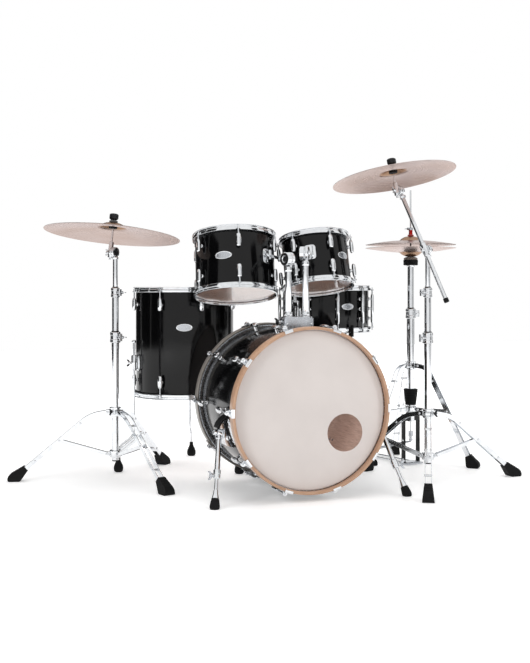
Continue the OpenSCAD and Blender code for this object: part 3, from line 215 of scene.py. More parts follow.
class Shape:
    """A mesh being built, in millimetres; skin is the material number of the faces that follow."""

    def __init__(self):
        self.bm = bmesh.new()
        self.skin = 0

    def of(self, skin):
        """The same mesh, for parts with another skin."""
        other = copy(self)
        other.skin = skin
        return other

    def face(self, verts):
        self.bm.faces.new(verts).material_index = self.skin

    def grid(self, rows, wrap_rows=False, wrap=True, place=HERE, skins=None):
        """Quads over rows of points."""
        made = [[self.bm.verts.new(place @ Vector(p)) for p in row] for row in rows]
        last = len(made) if wrap_rows else len(made) - 1
        for i in range(last):
            a, b = made[i], made[(i + 1) % len(made)]
            count = len(a) if wrap else len(a) - 1
            for k in range(count):
                n = (k + 1) % len(a)
                f = self.bm.faces.new((a[k], a[n], b[n], b[k]))
                f.material_index = skins[i] if skins else self.skin
        return made

    def lathe(self, profile, steps=48, place=HERE, closed=True, skins=None, swell=1.0):
        """A profile of (radius, height) turned about z; swell widens it along y."""
        rows = []
        for r, z in profile:
            r = max(r, 0.0005)
            rows.append([
                (r * cos(2 * pi * k / steps), swell * r * sin(2 * pi * k / steps), z)
                for k in range(steps)
            ])
        made = self.grid(rows, wrap_rows=closed, place=place, skins=skins)
        if not closed:
            if profile[0][0] > 0.001:
                self.face(made[0][::-1])
            if profile[-1][0] > 0.001:
                self.face(made[-1])

    def solid(self, profile, steps=32, place=HERE, swell=1.0):
        """A turned solid whose profile runs up from the axis and back to it."""
        self.lathe([(0, profile[0][1])] + list(profile) + [(0, profile[-1][1])], steps, place, False,
                   None, swell)

    def bar(self, r, low, high, steps=32, place=HERE):
        self.solid([(r, low), (r, high)], steps, place)

    def prism(self, outline, low, high, place=HERE):
        """An outline in x and y, drawn out from low to high along z."""
        bottom = [self.bm.verts.new(place @ Vector((p[0], p[1], low))) for p in outline]
        top = [self.bm.verts.new(place @ Vector((p[0], p[1], high))) for p in outline]
        self.face(bottom[::-1])
        self.face(top)
        for i in range(len(outline)):
            n = (i + 1) % len(outline)
            self.face((bottom[i], bottom[n], top[n], top[i]))

    def pipe(self, path, radius, sides=16, place=HERE, wrap=False):
        """A round bar along a path; radius is one number or one for each point."""
        path = [Vector(p) for p in path]
        n = len(path)
        radii = radius if isinstance(radius, (list, tuple)) else [radius] * n
        rows, side = [], None
        for i, p in enumerate(path):
            ahead = path[(i + 1) % n] - p if i < n - 1 or wrap else p - path[i - 1]
            behind = p - path[i - 1] if i or wrap else ahead
            tangent = (ahead.normalized() + behind.normalized()).normalized()
            if side is None:
                side = tangent.orthogonal()
            side = (side - tangent * side.dot(tangent)).normalized()
            other = tangent.cross(side)
            rows.append([
                p + radii[i] * (side * cos(t) + other * sin(t))
                for t in (2 * pi * k / sides for k in range(sides))
            ])
        made = self.grid(rows, wrap_rows=wrap, place=place)
        if not wrap:
            self.face(made[0][::-1])
            self.face(made[-1])

    def rod(self, a, b, radius, sides=24, soft=0.6):
        """A straight bar from a to b with softened ends."""
        a, b = Vector(a), Vector(b)
        d = (b - a).normalized()
        soft = min(soft, radius * 0.5, (b - a).length * 0.3)
        self.pipe([a, a + d * soft, b - d * soft, b], [radius - soft, radius, radius, radius - soft], sides)

    def ribbon(self, path, thick, widths, place=HERE):
        """A bent strip along a path in x and z, with a width along y for each point."""
        line = band(path, thick)
        n = len(path)
        rows = []
        for i, w in enumerate(widths):
            (x0, z0), (x1, z1) = line[i], line[2 * n - 1 - i]
            rows.append([(x0, -w / 2, z0), (x0, w / 2, z0), (x1, w / 2, z1), (x1, -w / 2, z1)])
        made = self.grid(rows, place=place)
        self.face(made[0][::-1])
        self.face(made[-1])

    def wrapped(self, outline, radius, steps, place=HERE):
        """An outline laid round a drum of that radius; steps are (share of its size, height)."""
        rows = []
        for share, height in steps:
            r = radius + height
            rows.append([
                (r * cos(u * share / radius), r * sin(u * share / radius), v * share)
                for u, v in outline
            ])
        made = self.grid(rows, place=place)
        self.face(made[-1])

    def block(self, low, high, place=HERE, soft=1.0):
        """A box from low to high with softened upright edges."""
        (x0, y0, z0), (x1, y1, z1) = low, high
        outline = rounded([(x0, y0), (x1, y0), (x1, y1), (x0, y1)], soft)
        self.prism(outline, z0, z1, place)

    def copy_of(self, other, place):
        """Adds another shape's mesh at a place."""
        start = {}
        flip = place.determinant() < 0
        for v in other.bm.verts:
            start[v] = self.bm.verts.new(place @ v.co)
        for f in other.bm.faces:
            verts = [start[v] for v in f.verts]
            self.bm.faces.new(verts[::-1] if flip else verts).material_index = f.material_index

    def thing(self, name, finishes, place=HERE, crease=35.0):
        """Ends the mesh as an object that rides on nothing yet."""
        bmesh.ops.remove_doubles(self.bm, verts=self.bm.verts, dist=0.002)
        bmesh.ops.dissolve_degenerate(self.bm, edges=self.bm.edges, dist=0.001)
        bmesh.ops.recalc_face_normals(self.bm, faces=self.bm.faces)
        limit = radians(crease)
        for e in self.bm.edges:
            e.smooth = len(e.link_faces) == 2 and e.calc_face_angle(0.0) < limit
        for f in self.bm.faces:
            f.smooth = True
        mesh = bpy.data.meshes.new(name)
        self.bm.transform(Matrix.Scale(MM, 4))
        self.bm.to_mesh(mesh)
        self.bm.free()
        for f in finishes:
            mesh.materials.append(f)
        obj = bpy.data.objects.new(name, mesh)
        bpy.context.scene.collection.objects.link(obj)
        place = place.copy()
        place.translation = place.translation * MM
        obj.matrix_world = place
        return obj

    def piece(self, node, look, place=HERE, body=None, finishes=None, slot="chrome", soften=0.0, crease=35.0):
        """Ends the mesh as the piece that stands for a CAD node, on a body named as the node or given."""
        obj = self.thing(f"{node}_{look}", finishes or HARDWARE, place, crease)
        if soften:
            soft_edges(obj, soften)
        bpy.context.view_layer.update()
        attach(obj, body or node)
        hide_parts(node)
        return obj


# ---- Finishes ----


def tone(code):
    """An sRGB hex colour as linear RGBA."""
    parts = [int(code[i:i + 2], 16) / 255 for i in (1, 3, 5)]
    return [c / 12.92 if c <= 0.04045 else ((c + 0.055) / 1.055) ** 2.4 for c in parts] + [1.0]


def add(tree, kind, links=None, **settings):
    """Adds a node; links maps its inputs to sockets or values."""
    node = tree.nodes.new(kind)
    for key, value in settings.items():
        setattr(node, key, value)
    for key, value in (links or {}).items():
        if isinstance(value, bpy.types.NodeSocket):
            tree.links.new(value, node.inputs[key])
        else:
            node.inputs[key].default_value = value
    return node


def finish(name, tint, rough, metal=0.0, **shader):
    """A principled material with its even values set on the shader.

    Gives the material, its node tree and the socket of a point's place on the piece.
    """
    m = bpy.data.materials.new(name)
    m.use_nodes = True
    surface = m.node_tree.nodes["Principled BSDF"]
    for key, value in {"Base Color": tone(tint), "Roughness": rough, "Metallic": metal, **shader}.items():
        surface.inputs[key.replace("_", " ")].default_value = value
    return m, m.node_tree, add(m.node_tree, "ShaderNodeTexCoord").outputs["Object"]


def drive(tree, key, source):
    """Feeds a socket to an input of the surface."""
    tree.links.new(source, tree.nodes["Principled BSDF"].inputs[key])


def grain(tree, where, scale, detail=3.0, stretch=None, rough=0.55):
    """Noise at a scale in 1/m, with an optional stretch of its space."""
    if stretch:
        where = add(tree, "ShaderNodeMapping", {"Vector": where, "Scale": stretch}).outputs["Vector"]
    return add(tree, "ShaderNodeTexNoise",
               {"Vector": where, "Scale": scale, "Detail": detail, "Roughness": rough}).outputs["Fac"]


def between(tree, factor, low, high, start=0.3, end=0.7):
    """Maps a factor from start..end onto low..high."""
    return add(tree, "ShaderNodeMapRange", {
        "Value": factor, "From Min": start, "From Max": end, "To Min": low, "To Max": high,
    }).outputs["Result"]


def colour(tree, factor, stops):
    """Colours the surface by a factor over (position, hex) stops."""
    node = add(tree, "ShaderNodeValToRGB", {"Fac": factor})
    while len(node.color_ramp.elements) < len(stops):
        node.color_ramp.elements.new(0.5)
    for element, (position, code) in zip(node.color_ramp.elements, stops):
        element.position = position
        element.color = tone(code)
    drive(tree, "Base Color", node.outputs["Color"])


def roughen(tree, factor, low, high, start=0.3, end=0.7):
    drive(tree, "Roughness", between(tree, factor, low, high, start, end))


def maths(tree, operation, a, b=0.0):
    return add(tree, "ShaderNodeMath", {0: a, 1: b}, operation=operation).outputs["Value"]


def blend(tree, a, share, b, rest):
    """The sum of two factors, each times its share."""
    return maths(tree, "ADD", maths(tree, "MULTIPLY", a, share), maths(tree, "MULTIPLY", b, rest))


def bump(tree, height, depth_mm, strength=0.5, under=None):
    """Feeds a height to the surface's normal."""
    links = {"Height": height, "Distance": depth_mm * MM, "Strength": strength}
    if under:
        links["Normal"] = under
    out = add(tree, "ShaderNodeBump", links).outputs["Normal"]
    drive(tree, "Normal", out)
    return out


def ring_place(tree, where):
    """Distance from the z axis, angle round it, and height."""
    parts = add(tree, "ShaderNodeSeparateXYZ", {"Vector": where})
    x, y, z = (parts.outputs[k] for k in "XYZ")
    squares = maths(tree, "ADD", maths(tree, "MULTIPLY", x, x), maths(tree, "MULTIPLY", y, y))
    return maths(tree, "SQRT", squares), maths(tree, "ARCTAN2", y, x), z


def round_place(tree, where, turn_scale):
    """Space unrolled round the z axis, for grain that follows a bent sheet."""
    radius, angle, height = ring_place(tree, where)
    turned = maths(tree, "MULTIPLY", angle, turn_scale)
    return add(tree, "ShaderNodeCombineXYZ", {"X": turned, "Y": radius, "Z": height}).outputs["Vector"]


def black_lacquer():
    # Piano lacquer over ply: a deep black under a clear polished coat, with a faint ripple
    # from the spray that makes its long reflections waver.
    m, tree, where = finish("black_piano_lacquer", "#060607", 0.1, Specular_IOR_Level=0.28)
    roughen(tree, grain(tree, where, 9.0), 0.07, 0.15)
    colour(tree, grain(tree, where, 260.0), [(0.35, "#040405"), (0.75, "#0a0a0b")])
    bump(tree, grain(tree, where, 30.0, 2.0), 0.1, 0.1)
    return m


def bare_ply():
    # Birch ply inside a shell, sanded and sealed: pale brown with close upright grain.
    m, tree, where = finish("sealed_birch_ply", "#d2b6a8", 0.5)
    along = round_place(tree, where, 0.2)
    streak = grain(tree, along, 60.0, 5.0, (6.0, 1.0, 0.35))
    pores = grain(tree, along, 420.0, 3.0, (1.0, 1.0, 0.12))
    colour(tree, blend(tree, streak, 0.75, pores, 0.25), [(0.3, "#b99c8e"), (0.5, "#d2b6a8"),
            (0.72, "#e3cabe")])
    bump(tree, pores, 0.1, 0.35)
    return m


def lacquered_maple(name, tones):
    # Maple bent into a hoop and clear-lacquered: darker mineral streaks about six millimetres
    # wide and flecks about two wide, both drawn out round the hoop, under a glossy coat.
    m, tree, where = finish(name, tones[1][1], 0.32, Coat_Weight=0.35, Coat_Roughness=0.12)
    along = round_place(tree, where, 0.28)
    streak = grain(tree, along, 30.0, 6.0, (0.5, 6.0, 6.0), 0.62)
    fleck = grain(tree, along, 260.0, 4.0, (0.12, 1.6, 1.6))
    colour(tree, blend(tree, streak, 0.7, fleck, 0.3), tones)
    roughen(tree, fleck, 0.26, 0.42)
    bump(tree, fleck, 0.08, 0.25)
    return m


def polished_chrome():
    # Bright nickel-chrome plating: a mirror with very faint buffing haze.
    m, tree, where = finish("polished_chrome_plate", "#dfe1e4", 0.08, 1.0)
    haze = grain(tree, where, 40.0, 3.0)
    roughen(tree, haze, 0.05, 0.1)
    colour(tree, haze, [(0.3, "#dadcdf"), (0.7, "#e8eaec")])
    bump(tree, grain(tree, where, 60.0, 1.0), 0.02, 0.03)
    return m


def threaded_chrome():
    # Rolled thread on a plated rod: its ridges are drawn coarser than real, so that they show.
    m, tree, where = finish("threaded_chrome_rod", "#c9ccd0", 0.2, 1.0)
    wave = add(tree, "ShaderNodeTexWave", {"Vector": where, "Scale": 250.0, "Distortion": 0.0},
               bands_direction="Z").outputs["Fac"]
    bump(tree, wave, 0.35, 0.8)
    roughen(tree, wave, 0.32, 0.12, 0.0, 1.0)
    return m


def cast_steel():
    # Die-cast and plated fittings: bright grey metal, softer than the tubes.
    m, tree, where = finish("plated_die_casting", "#b9bcc1", 0.24, 1.0)
    roughen(tree, grain(tree, where, 120.0, 5.0), 0.17, 0.34)
    bump(tree, grain(tree, where, 420.0, 4.0), 0.06, 0.25)
    return m


def brushed_plate():
    # Brushed steel plate: fine parallel lines that break up its shine.
    m, tree, where = finish("brushed_steel_plate", "#8f9399", 0.34, 1.0)
    lines = grain(tree, where, 500.0, 4.0, (1.0, 0.06, 1.0))
    roughen(tree, lines, 0.24, 0.46)
    colour(tree, lines, [(0.3, "#7c8086"), (0.7, "#a2a6ac")])
    bump(tree, lines, 0.04, 0.4)
    return m


def black_enamel():
    # Black stove enamel on the pedal frames and wing bolts: satin with light orange peel.
    m, tree, where = finish("black_stove_enamel", "#101113", 0.36, Specular_IOR_Level=0.35)
    roughen(tree, grain(tree, where, 140.0), 0.28, 0.46)
    colour(tree, grain(tree, where, 60.0), [(0.3, "#0c0d0e"), (0.7, "#16171a")])
    bump(tree, grain(tree, where, 600.0), 0.06, 0.35)
    return m


def coated_film():
    # Polyester head with a sprayed white coat: matt, softly clouded and faintly speckled.
    m, tree, where = finish("coated_polyester_film", "#dfd7d3", 0.55)
    speck = grain(tree, where, 900.0, 3.0)
    colour(tree, grain(tree, where, 6.0, 3.0), [(0.3, "#dbd3cf"), (0.7, "#e2dad6")])
    roughen(tree, speck, 0.46, 0.66)
    bump(tree, speck, 0.06, 0.35)
    return m


def clear_film():
    # Clear polyester head: the ply shows through, under a soft gloss.
    m, tree, where = finish("clear_polyester_film", "#fbf9f8", 0.08, IOR=1.5, Transmission_Weight=1.0)
    cloud = grain(tree, where, 5.0, 2.0)
    roughen(tree, cloud, 0.05, 0.12)
    colour(tree, cloud, [(0.3, "#faf7f6"), (0.7, "#fefdfc")])
    bump(tree, grain(tree, where, 14.0, 2.0), 0.3, 0.12)
    return m


def bell_bronze():
    # Bell bronze, hammered and lathed: a pale rosy metal with turning grooves round the middle, drawn
    # two millimetres apart to show, over shallow hammer marks. The bell is painted darker and browner
    # as the shade in its hollow, and a wide slow drift of tone is painted reflection.
    m, tree, where = finish("lathed_bell_bronze", "#b09e93", 0.32, 1.0, Anisotropic=0.4,
                            Specular_Tint=tone("#eee7e5"))
    radius, angle, _ = ring_place(tree, where)
    swept = maths(tree, "ADD", radius, maths(tree, "MULTIPLY", grain(tree, where, 12.0, 2.0), 0.004))
    fine = maths(tree, "SINE", maths(tree, "MULTIPLY", swept, 3100.0))
    turned = add(tree, "ShaderNodeCombineXYZ", {"X": radius, "Y": maths(tree, "MULTIPLY", angle, 0.004)})
    bands = grain(tree, turned.outputs["Vector"], 190.0, 5.0)
    # The turning bands, blended with a wide slow drift of tone that is painted reflection.
    spread = blend(tree, bands, 0.35, grain(tree, where, 5.0, 1.0), 0.65)
    # Darker and browner within the bell's radius: painted shade of the bell's hollow.
    painted_bell_shade = between(tree, radius, 0.35, 1.0, 0.05, 0.058)
    colour(tree, maths(tree, "MULTIPLY", spread, painted_bell_shade),
           [(0.12, "#8f705a"), (0.22, "#a98a72"), (0.33, "#ab968b"), (0.5, "#b9a9a3"), (0.7, "#beb4b3")])
    roughen(tree, bands, 0.25, 0.35, 0.3, 0.75)
    dents = add(tree, "ShaderNodeTexVoronoi", {"Vector": where, "Scale": 46.0},
                feature="SMOOTH_F1").outputs["Distance"]
    under = bump(tree, dents, 0.7, 0.12)
    bump(tree, maths(tree, "ADD", fine, maths(tree, "MULTIPLY", bands, 2.0)), 0.05, 0.2, under)
    return m


def black_rubber():
    # Moulded rubber, matt and slightly dusty.
    m, tree, where = finish("moulded_black_rubber", "#0d0d0e", 0.72, Specular_IOR_Level=0.22)
    dust = grain(tree, where, 35.0, 5.0)
    colour(tree, dust, [(0.35, "#0a0a0b"), (0.75, "#161617")])
    roughen(tree, dust, 0.6, 0.85)
    bump(tree, grain(tree, where, 900.0, 3.0), 0.1, 0.5)
    return m


def felt_cloth(name, dark, light):
    # Pressed wool felt: short tangled fibres, drawn near a millimetre so they show.
    m, tree, where = finish(name, light, 0.95, Sheen_Weight=0.5, Sheen_Roughness=0.6)
    fibre = grain(tree, where, 950.0, 6.0)
    colour(tree, fibre, [(0.3, dark), (0.7, light)])
    bump(tree, fibre, 0.7, 0.9)
    return m


def red_anodised():
    # Red anodised clutch body: metal under a clear red film.
    m, tree, where = finish("red_anodised_aluminium", "#b3231d", 0.26, 0.85)
    roughen(tree, grain(tree, where, 300.0), 0.2, 0.36)
    bump(tree, grain(tree, where, 900.0), 0.03, 0.2)
    return m


LACQUER, PLY_INSIDE = black_lacquer(), bare_ply()
MAPLE = lacquered_maple("clear_lacquered_maple", [(0.28, "#9a7459"), (0.45, "#b68e71"), (0.6, "#c59f83"),
                                                  (0.78, "#d2b197")])
# The same maple for the rear hoop, painted greyer and darker as the shade it stands in.
MAPLE_PAINTED_SHADE = lacquered_maple("lacquered_maple_painted_shade", [(0.28, "#6c665f"), (0.45, "#857f79"),
                                                          (0.6, "#928c86"), (0.78, "#a09a94")])
CHROME, THREAD, CAST = polished_chrome(), threaded_chrome(), cast_steel()
PLATE, ENAMEL, RUBBER = brushed_plate(), black_enamel(), black_rubber()
COATED, CLEAR, BRONZE = coated_film(), clear_film(), bell_bronze()
GREY_FELT = felt_cloth("grey_wool_felt", "#2a2a2b", "#4b4b4c")
WHITE_FELT = felt_cloth("white_wool_felt", "#c9c4bb", "#ebe7df")
RED_FELT = felt_cloth("red_wool_felt", "#7c1511", "#ab2c25")
BROWN_FELT = felt_cloth("brown_wool_felt", "#5d544e", "#857a72")
RED = red_anodised()
HARDWARE = [CHROME, ENAMEL, RUBBER, CAST, THREAD]
PEDAL_METAL = [PLATE, ENAMEL, RUBBER, CAST, THREAD]
BLACK_SKIN, RUBBER_SKIN, CAST_SKIN, THREAD_SKIN, FELT_SKIN, RED_SKIN = 1, 2, 3, 4, 5, 6

# ---- Frames of the units ----

BASS_FRAME = to(BASS) @ rx(-90)
TOM_12_FRAME, TOM_10_FRAME = leaned(TOM_12, TOM_12_LEAN), leaned(TOM_10, TOM_10_LEAN)
FLOOR_TOM_FRAME, SNARE_FRAME = to(FLOOR_TOM), to(SNARE)
BASS_ROD_R = BASS_HOOP_R + 10


def ends(depth):
    """The bearing edge at each end of a drum centred on its middle, with z outward."""
    return up(depth / 2), FLIP @ up(depth / 2)


def bass_ends():
    """Each end of the bass drum, with z from its hoop's face into the drum."""
    return HERE, up(BASS_LENGTH) @ FLIP


def round_places(count, first):
    return [rz(first + i * 360 / count) for i in range(count)]


def squarish(half_x, half_y, count=48, power=0.45):
    """A rounded rectangle with evenly spread points."""
    out = []
    for i in range(count):
        t = 2 * pi * (i + 0.5) / count
        c, d = cos(t), sin(t)
        out.append((half_x * copysign(abs(c) ** power, c), half_y * copysign(abs(d) ** power, d)))
    return out


# ---- Fittings that repeat ----


def ring(inner, outer, low, high, soft=1.0):
    """The section of a collar with softened corners."""
    return rounded([(inner, low), (outer, low), (outer, high), (inner, high)], soft)


def wing_head(s, place, size=13.0):
    """A cast wing head on a bolt along z, from its seat up."""
    s.solid([(0.5 * size, 0), (0.52 * size, 0.15 * size), (0.36 * size, 0.62 * size),
             (0.26 * size, 0.72 * size)], 20, place)
    half = [(0.15, 0.1), (0.6, 0.14), (1.0, 0.5), (1.08, 1.0), (0.84, 1.14), (0.5, 0.8), (0.2, 0.66)]
    for side in (1, -1):
        outline = rounded([(side * x * size, z * size) for x, z in half], 0.22 * size)
        s.prism(outline, -0.14 * size, 0.14 * size, place @ rx(90))


def wing_bolt(s, place, stub, head_z, size, steps=20, twist=0, skin=0):
    """A bolt along z and its wings; its stub is (radius, from, to, radius past its step, end)."""
    wide, low, high, narrow, end = stub
    s.solid([(wide, low), (wide, high), (narrow, high + 1), (narrow, end)], steps, place)
    wing_head(s.of(skin), place @ up(head_z) @ rz(twist), size)


def key_head(s, place):
    """The washer and square head of a tension rod, from the ear up."""
    s.solid([(4.3, 0), (4.6, 0.4), (4.3, 1.6), (3.7, 2.0), (3.7, 2.8)], 20, place)
    s.block((-2.7, -2.7, 2.5), (2.7, 2.7, 10.0), place, 0.9)


def bolt_head(s, place, r=3.6, h=2.4):
    """A domed screw head from its seat up."""
    s.solid([(r, 0), (r, 0.3 * h), (0.82 * r, 0.75 * h), (0.45 * r, h)], 20, place)


def bean_lug(s, place, r, length, out, drum_r, swell=1.25):
    """A lug's smooth body at a distance out from the drum's axis, on its foot and gasket."""
    turns = [radians(a) for a in range(-90, 91, 10)]
    body = [(r * max(cos(t), 0.0) ** 0.38, length / 2 * sin(t)) for t in turns]
    s.solid(body, 28, place @ at(out, 0, 0), swell)
    s.solid([(7.4, drum_r + 0.9), (7.2, drum_r + 2.2), (5.6, drum_r + 4.0), (5.6, out)], 28, place @ ry(90))
    s.of(RUBBER_SKIN).bar(8.0, drum_r - 0.6, drum_r + 1.0, 28, place @ ry(90))


def shell_screws(s, place, drum_r, heights=(-12, 12)):
    """Screw heads inside the shell, behind a lug."""
    s.skin = CAST_SKIN
    for z in heights:
        inward = place @ at(drum_r - PLY + 0.4, 0, z) @ ry(-90)
        s.solid([(6.0, 0), (6.0, 0.9), (3.6, 1.1), (3.4, 2.6), (1.5, 3.2)], 18, inward)
    s.skin = 0


def drum_hardware(s, r, depth, count, first, inset):
    """The lugs and tension rods of both ends of an upright drum."""
    for end in ends(depth):
        for turn in round_places(count, first):
            spot = end @ turn
            bean_lug(s, spot @ up(-inset), 8.0, 50.0, r + ROD_OFF, r)
            shell_screws(s, spot @ up(-inset), r)
            s.solid([(4.6, 22 - inset), (4.9, 23 - inset), (4.9, 26 - inset), (4.0, 27 - inset)], 20,
                    spot @ at(r + ROD_OFF, 0, 0))
            s.of(THREAD_SKIN).bar(2.9, 22 - inset, -6.0, 16, spot @ at(r + ROD_OFF, 0, 0))
            key_head(s, spot @ at(r + ROD_OFF, 0, -6.7))


def badge(s, r, angle, z, width):
    """A blank oval plate with a raised rim, at an angle round the drum and a height."""
    spot = rz(angle) @ up(z)
    outline = oval(width / 2, width / 4.4, 48)
    s.of(CAST_SKIN).wrapped(outline, r, [(0, 1.3), (0.3, 1.3), (0.6, 1.3), (0.86, 1.3)], spot)
    s.wrapped(outline, r, [(0.84, 1.2), (0.87, 1.9), (0.92, 2.2), (0.97, 2.0), (1.0, 1.4), (1.0, -0.5),
                           (0.84, -0.5)], spot)


def shell_mesh(s, r, depth):
    """A ply shell: lacquered outside, bare inside and on its bearing edges."""
    h, cut = depth / 2, PLY - 2
    profile = [(r - PLY, cut - h), (r - 2, -h), (r - 0.9, 0.7 - h), (r, 4 - h), (r, h - 4),
               (r - 0.9, h - 0.7), (r - 2, h), (r - PLY, h - cut)]
    s.lathe(profile, 160, skins=[1, 1, 0, 0, 0, 1, 1, 1])


def shell(node, body, r, depth, place):
    s = Shape()
    shell_mesh(s, r, depth)
    return s.piece(node, "lacquered", place, body, [LACQUER, PLY_INSIDE], "black_lacquer", crease=50)


HOOP_SECTION = [(4, -1.2), (8, -1.2), (8, -10), (10.3, -10), (10.3, 1.1), (6.3, 1.1), (6.3, 8.7),
        (10.5, 8.7), (10.5, 11), (4, 11)]


def steel_hoop(s, r, count, first, place):
    """A hoop with three flanges, and an ear for each tension rod."""
    s.lathe(rounded([(r + x, z) for x, z in HOOP_SECTION], 1.4), 160, place)
    for turn in round_places(count, first):
        ear = [(r + 8.4, -12), (r + 10.6, -8.2)]
        for a in range(-80, 81, 16):
            ear.append((r + ROD_OFF + 6.5 * cos(radians(a)), 6.5 * sin(radians(a))))
        ear += [(r + 10.6, 8.2), (r + 8.4, 12)]
        s.prism(ear, -10, -7, place @ turn)


def hoops(node, body, r, depth, count, first, place, soften=0.5):
    s = Shape()
    for end in ends(depth):
        steel_hoop(s, r, count, first, end)
    return s.piece(node, "flanged", place, body, soften=soften)


def head_mesh(s, r, place):
    """A film over its bearing edge, tucked into an aluminium flesh hoop."""
    s.skin = 0
    s.lathe([(0, 0.6), (r * 0.5, 0.6), (r - 4, 0.6), (r - 1, 0.6), (r + 1.4, -0.3), (r + 2.6, -1.8),
             (r + 2.6, -4), (r + 1.9, -4), (r + 1.6, -1.6), (r - 1.6, 0.05), (r - 4, 0.05), (r * 0.5, 0.05),
             (0, 0.05)], 160, place, False)
    s.skin = 1
    s.lathe(ring(r + 0.5, r + 7, -9, -1.6, 1.2), 160, place)


def thin_film(piece):
    """Lets the studio's light through a head into the drum."""
    piece.visible_shadow = piece.visible_diffuse = False


def heads(node, body, r, depth, place, film, slot):
    s = Shape()
    for end in ends(depth):
        head_mesh(s, r, end)
    thin_film(s.piece(node, "film", place, body, [film, CAST], slot, crease=50))


def drum(name, body, r, depth, count, first, place, film, slot, soften=0.5):
    """Shell, heads and hoops of an upright drum; gives the hoops."""
    shell(name + "_shell", body, r, depth, place)
    heads(name + "_heads", body, r, depth, place, film, slot)
    return hoops(name + "_hoops", body, r, depth, count, first, place, soften)


# ---- Drums ----


def cut_out(piece, shape, place=HERE):
    """Cuts a shape out of a piece."""
    cutter = shape.thing("cutter", [LACQUER], place)
    bpy.context.view_layer.update()
    carve = piece.modifiers.new("cut", "BOOLEAN")
    carve.operation, carve.object = "DIFFERENCE", cutter
    graph = bpy.context.evaluated_depsgraph_get()
    piece.data = bpy.data.meshes.new_from_object(piece.evaluated_get(graph))
    piece.data.set_sharp_from_angle(angle=radians(40))
    piece.modifiers.clear()
    bpy.data.objects.remove(cutter)


def bass_drum():
    body = shell("bass_shell", "kit", BASS_R, BASS_DEPTH, BASS_FRAME @ up(BASS_LENGTH / 2))
    s = Shape()
    for post in (POST_LEFT, POST_RIGHT):
        s.bar(12.6, BASS.z + 150, BASS.z + 330, 40, at(post.x, post.y, 0))
    cut_out(body, s)

    s = Shape()
    section = rounded([(BASS_HOOP_R, 0), (BASS_R + 4, 0), (BASS_R + 3, 22), (BASS_R + 9.5, 22),
                       (BASS_R + 9.5, 38), (BASS_HOOP_R, 38)], 2.2)
    # The rear hoop takes the second finish: the same maple with painted shade.
    for skin, end in enumerate(bass_ends()):
        s.skin = skin
        s.lathe(section, 192, end)
    s.piece("bass_hoops", "maple", BASS_FRAME, "kit", [MAPLE, MAPLE_PAINTED_SHADE], "maple", crease=40)

    s = Shape()
    for end in bass_ends():
        head_mesh(s, BASS_R, end @ up(25) @ FLIP)
    film = s.piece("bass_heads", "film", BASS_FRAME, "kit", [COATED, CAST], "film_white", crease=50)
    s = Shape()
    s.bar(PORT_R, 15, 35, 96, rz(PORT_A) @ at(PORT_OUT, 0, 0))
    cut_out(film, s, BASS_FRAME)
    thin_film(film)

    s = Shape()
    for end in bass_ends():
        for turn in round_places(10, BASS_LUG_A):
            spot = end @ turn
            bean_lug(s, spot @ up(BASS_LUG_IN), 8.2, 56.0, BASS_ROD_R, BASS_R, 1.5)
            shell_screws(s, spot @ up(BASS_LUG_IN), BASS_R, (-14, 14))
            rod = spot @ at(BASS_ROD_R, 0, 0)
            s.solid([(4.0, 99), (5.0, 100), (5.0, 104), (4.2, 105)], 20, rod)
            s.of(THREAD_SKIN).bar(3.2, 28, 104, 16, rod)
            s.solid([(4.4, 25), (5.0, 25.6), (5.0, 29.4), (4.4, 29.8)], 20, rod)
            s.block((-3.2, -3.2, 17.7), (3.2, 3.2, 25.5), rod, 1.0)
    s.piece("bass_lugs", "and_rods", BASS_FRAME, "kit", soften=0.3)

    s = Shape()
    for end in bass_ends():
        for turn in round_places(10, BASS_LUG_A):
            spot = end @ turn
            path = rounded([(BASS_R + 7, -1.9), (BASS_HOOP_R + 2.0, -1.9), (BASS_HOOP_R + 2.0, 20),
                            (BASS_HOOP_R + 5.5, 30), (BASS_HOOP_R + 5.5, 43)], 6, 4, False)
            widths = [31 - 12 * min(1.0, max(0.0, (z - 8) / 26)) for _, z in path]
            s.ribbon(path, 3.4, widths, spot)
            s.lathe([(3.6, 29), (8.4, 29), (9.0, 32), (8.8, 40), (7.0, 44), (3.6, 44)], 28,
                    spot @ at(BASS_ROD_R, 0, 0))
    s.piece("bass_claws", "curved", BASS_FRAME, "kit", soften=0.9)


def spur_frame(side):
    hinge = pivot("spur_right_fold" if side > 0 else "spur_left_fold")
    return to(hinge) @ (HERE if side > 0 else MIRROR_X)


SPUR_REACH = Vector((53, -126, -237))
SPUR_PIN = Vector((237, 0, 53)).normalized()


def spur_pin_frame():
    """From the right-hand spur's own place: z along its hinge pin, away from the drum."""
    side = Vector((0, 1, 0))
    cross = side.cross(SPUR_PIN)
    return Matrix((cross, side, SPUR_PIN)).transposed().to_4x4()


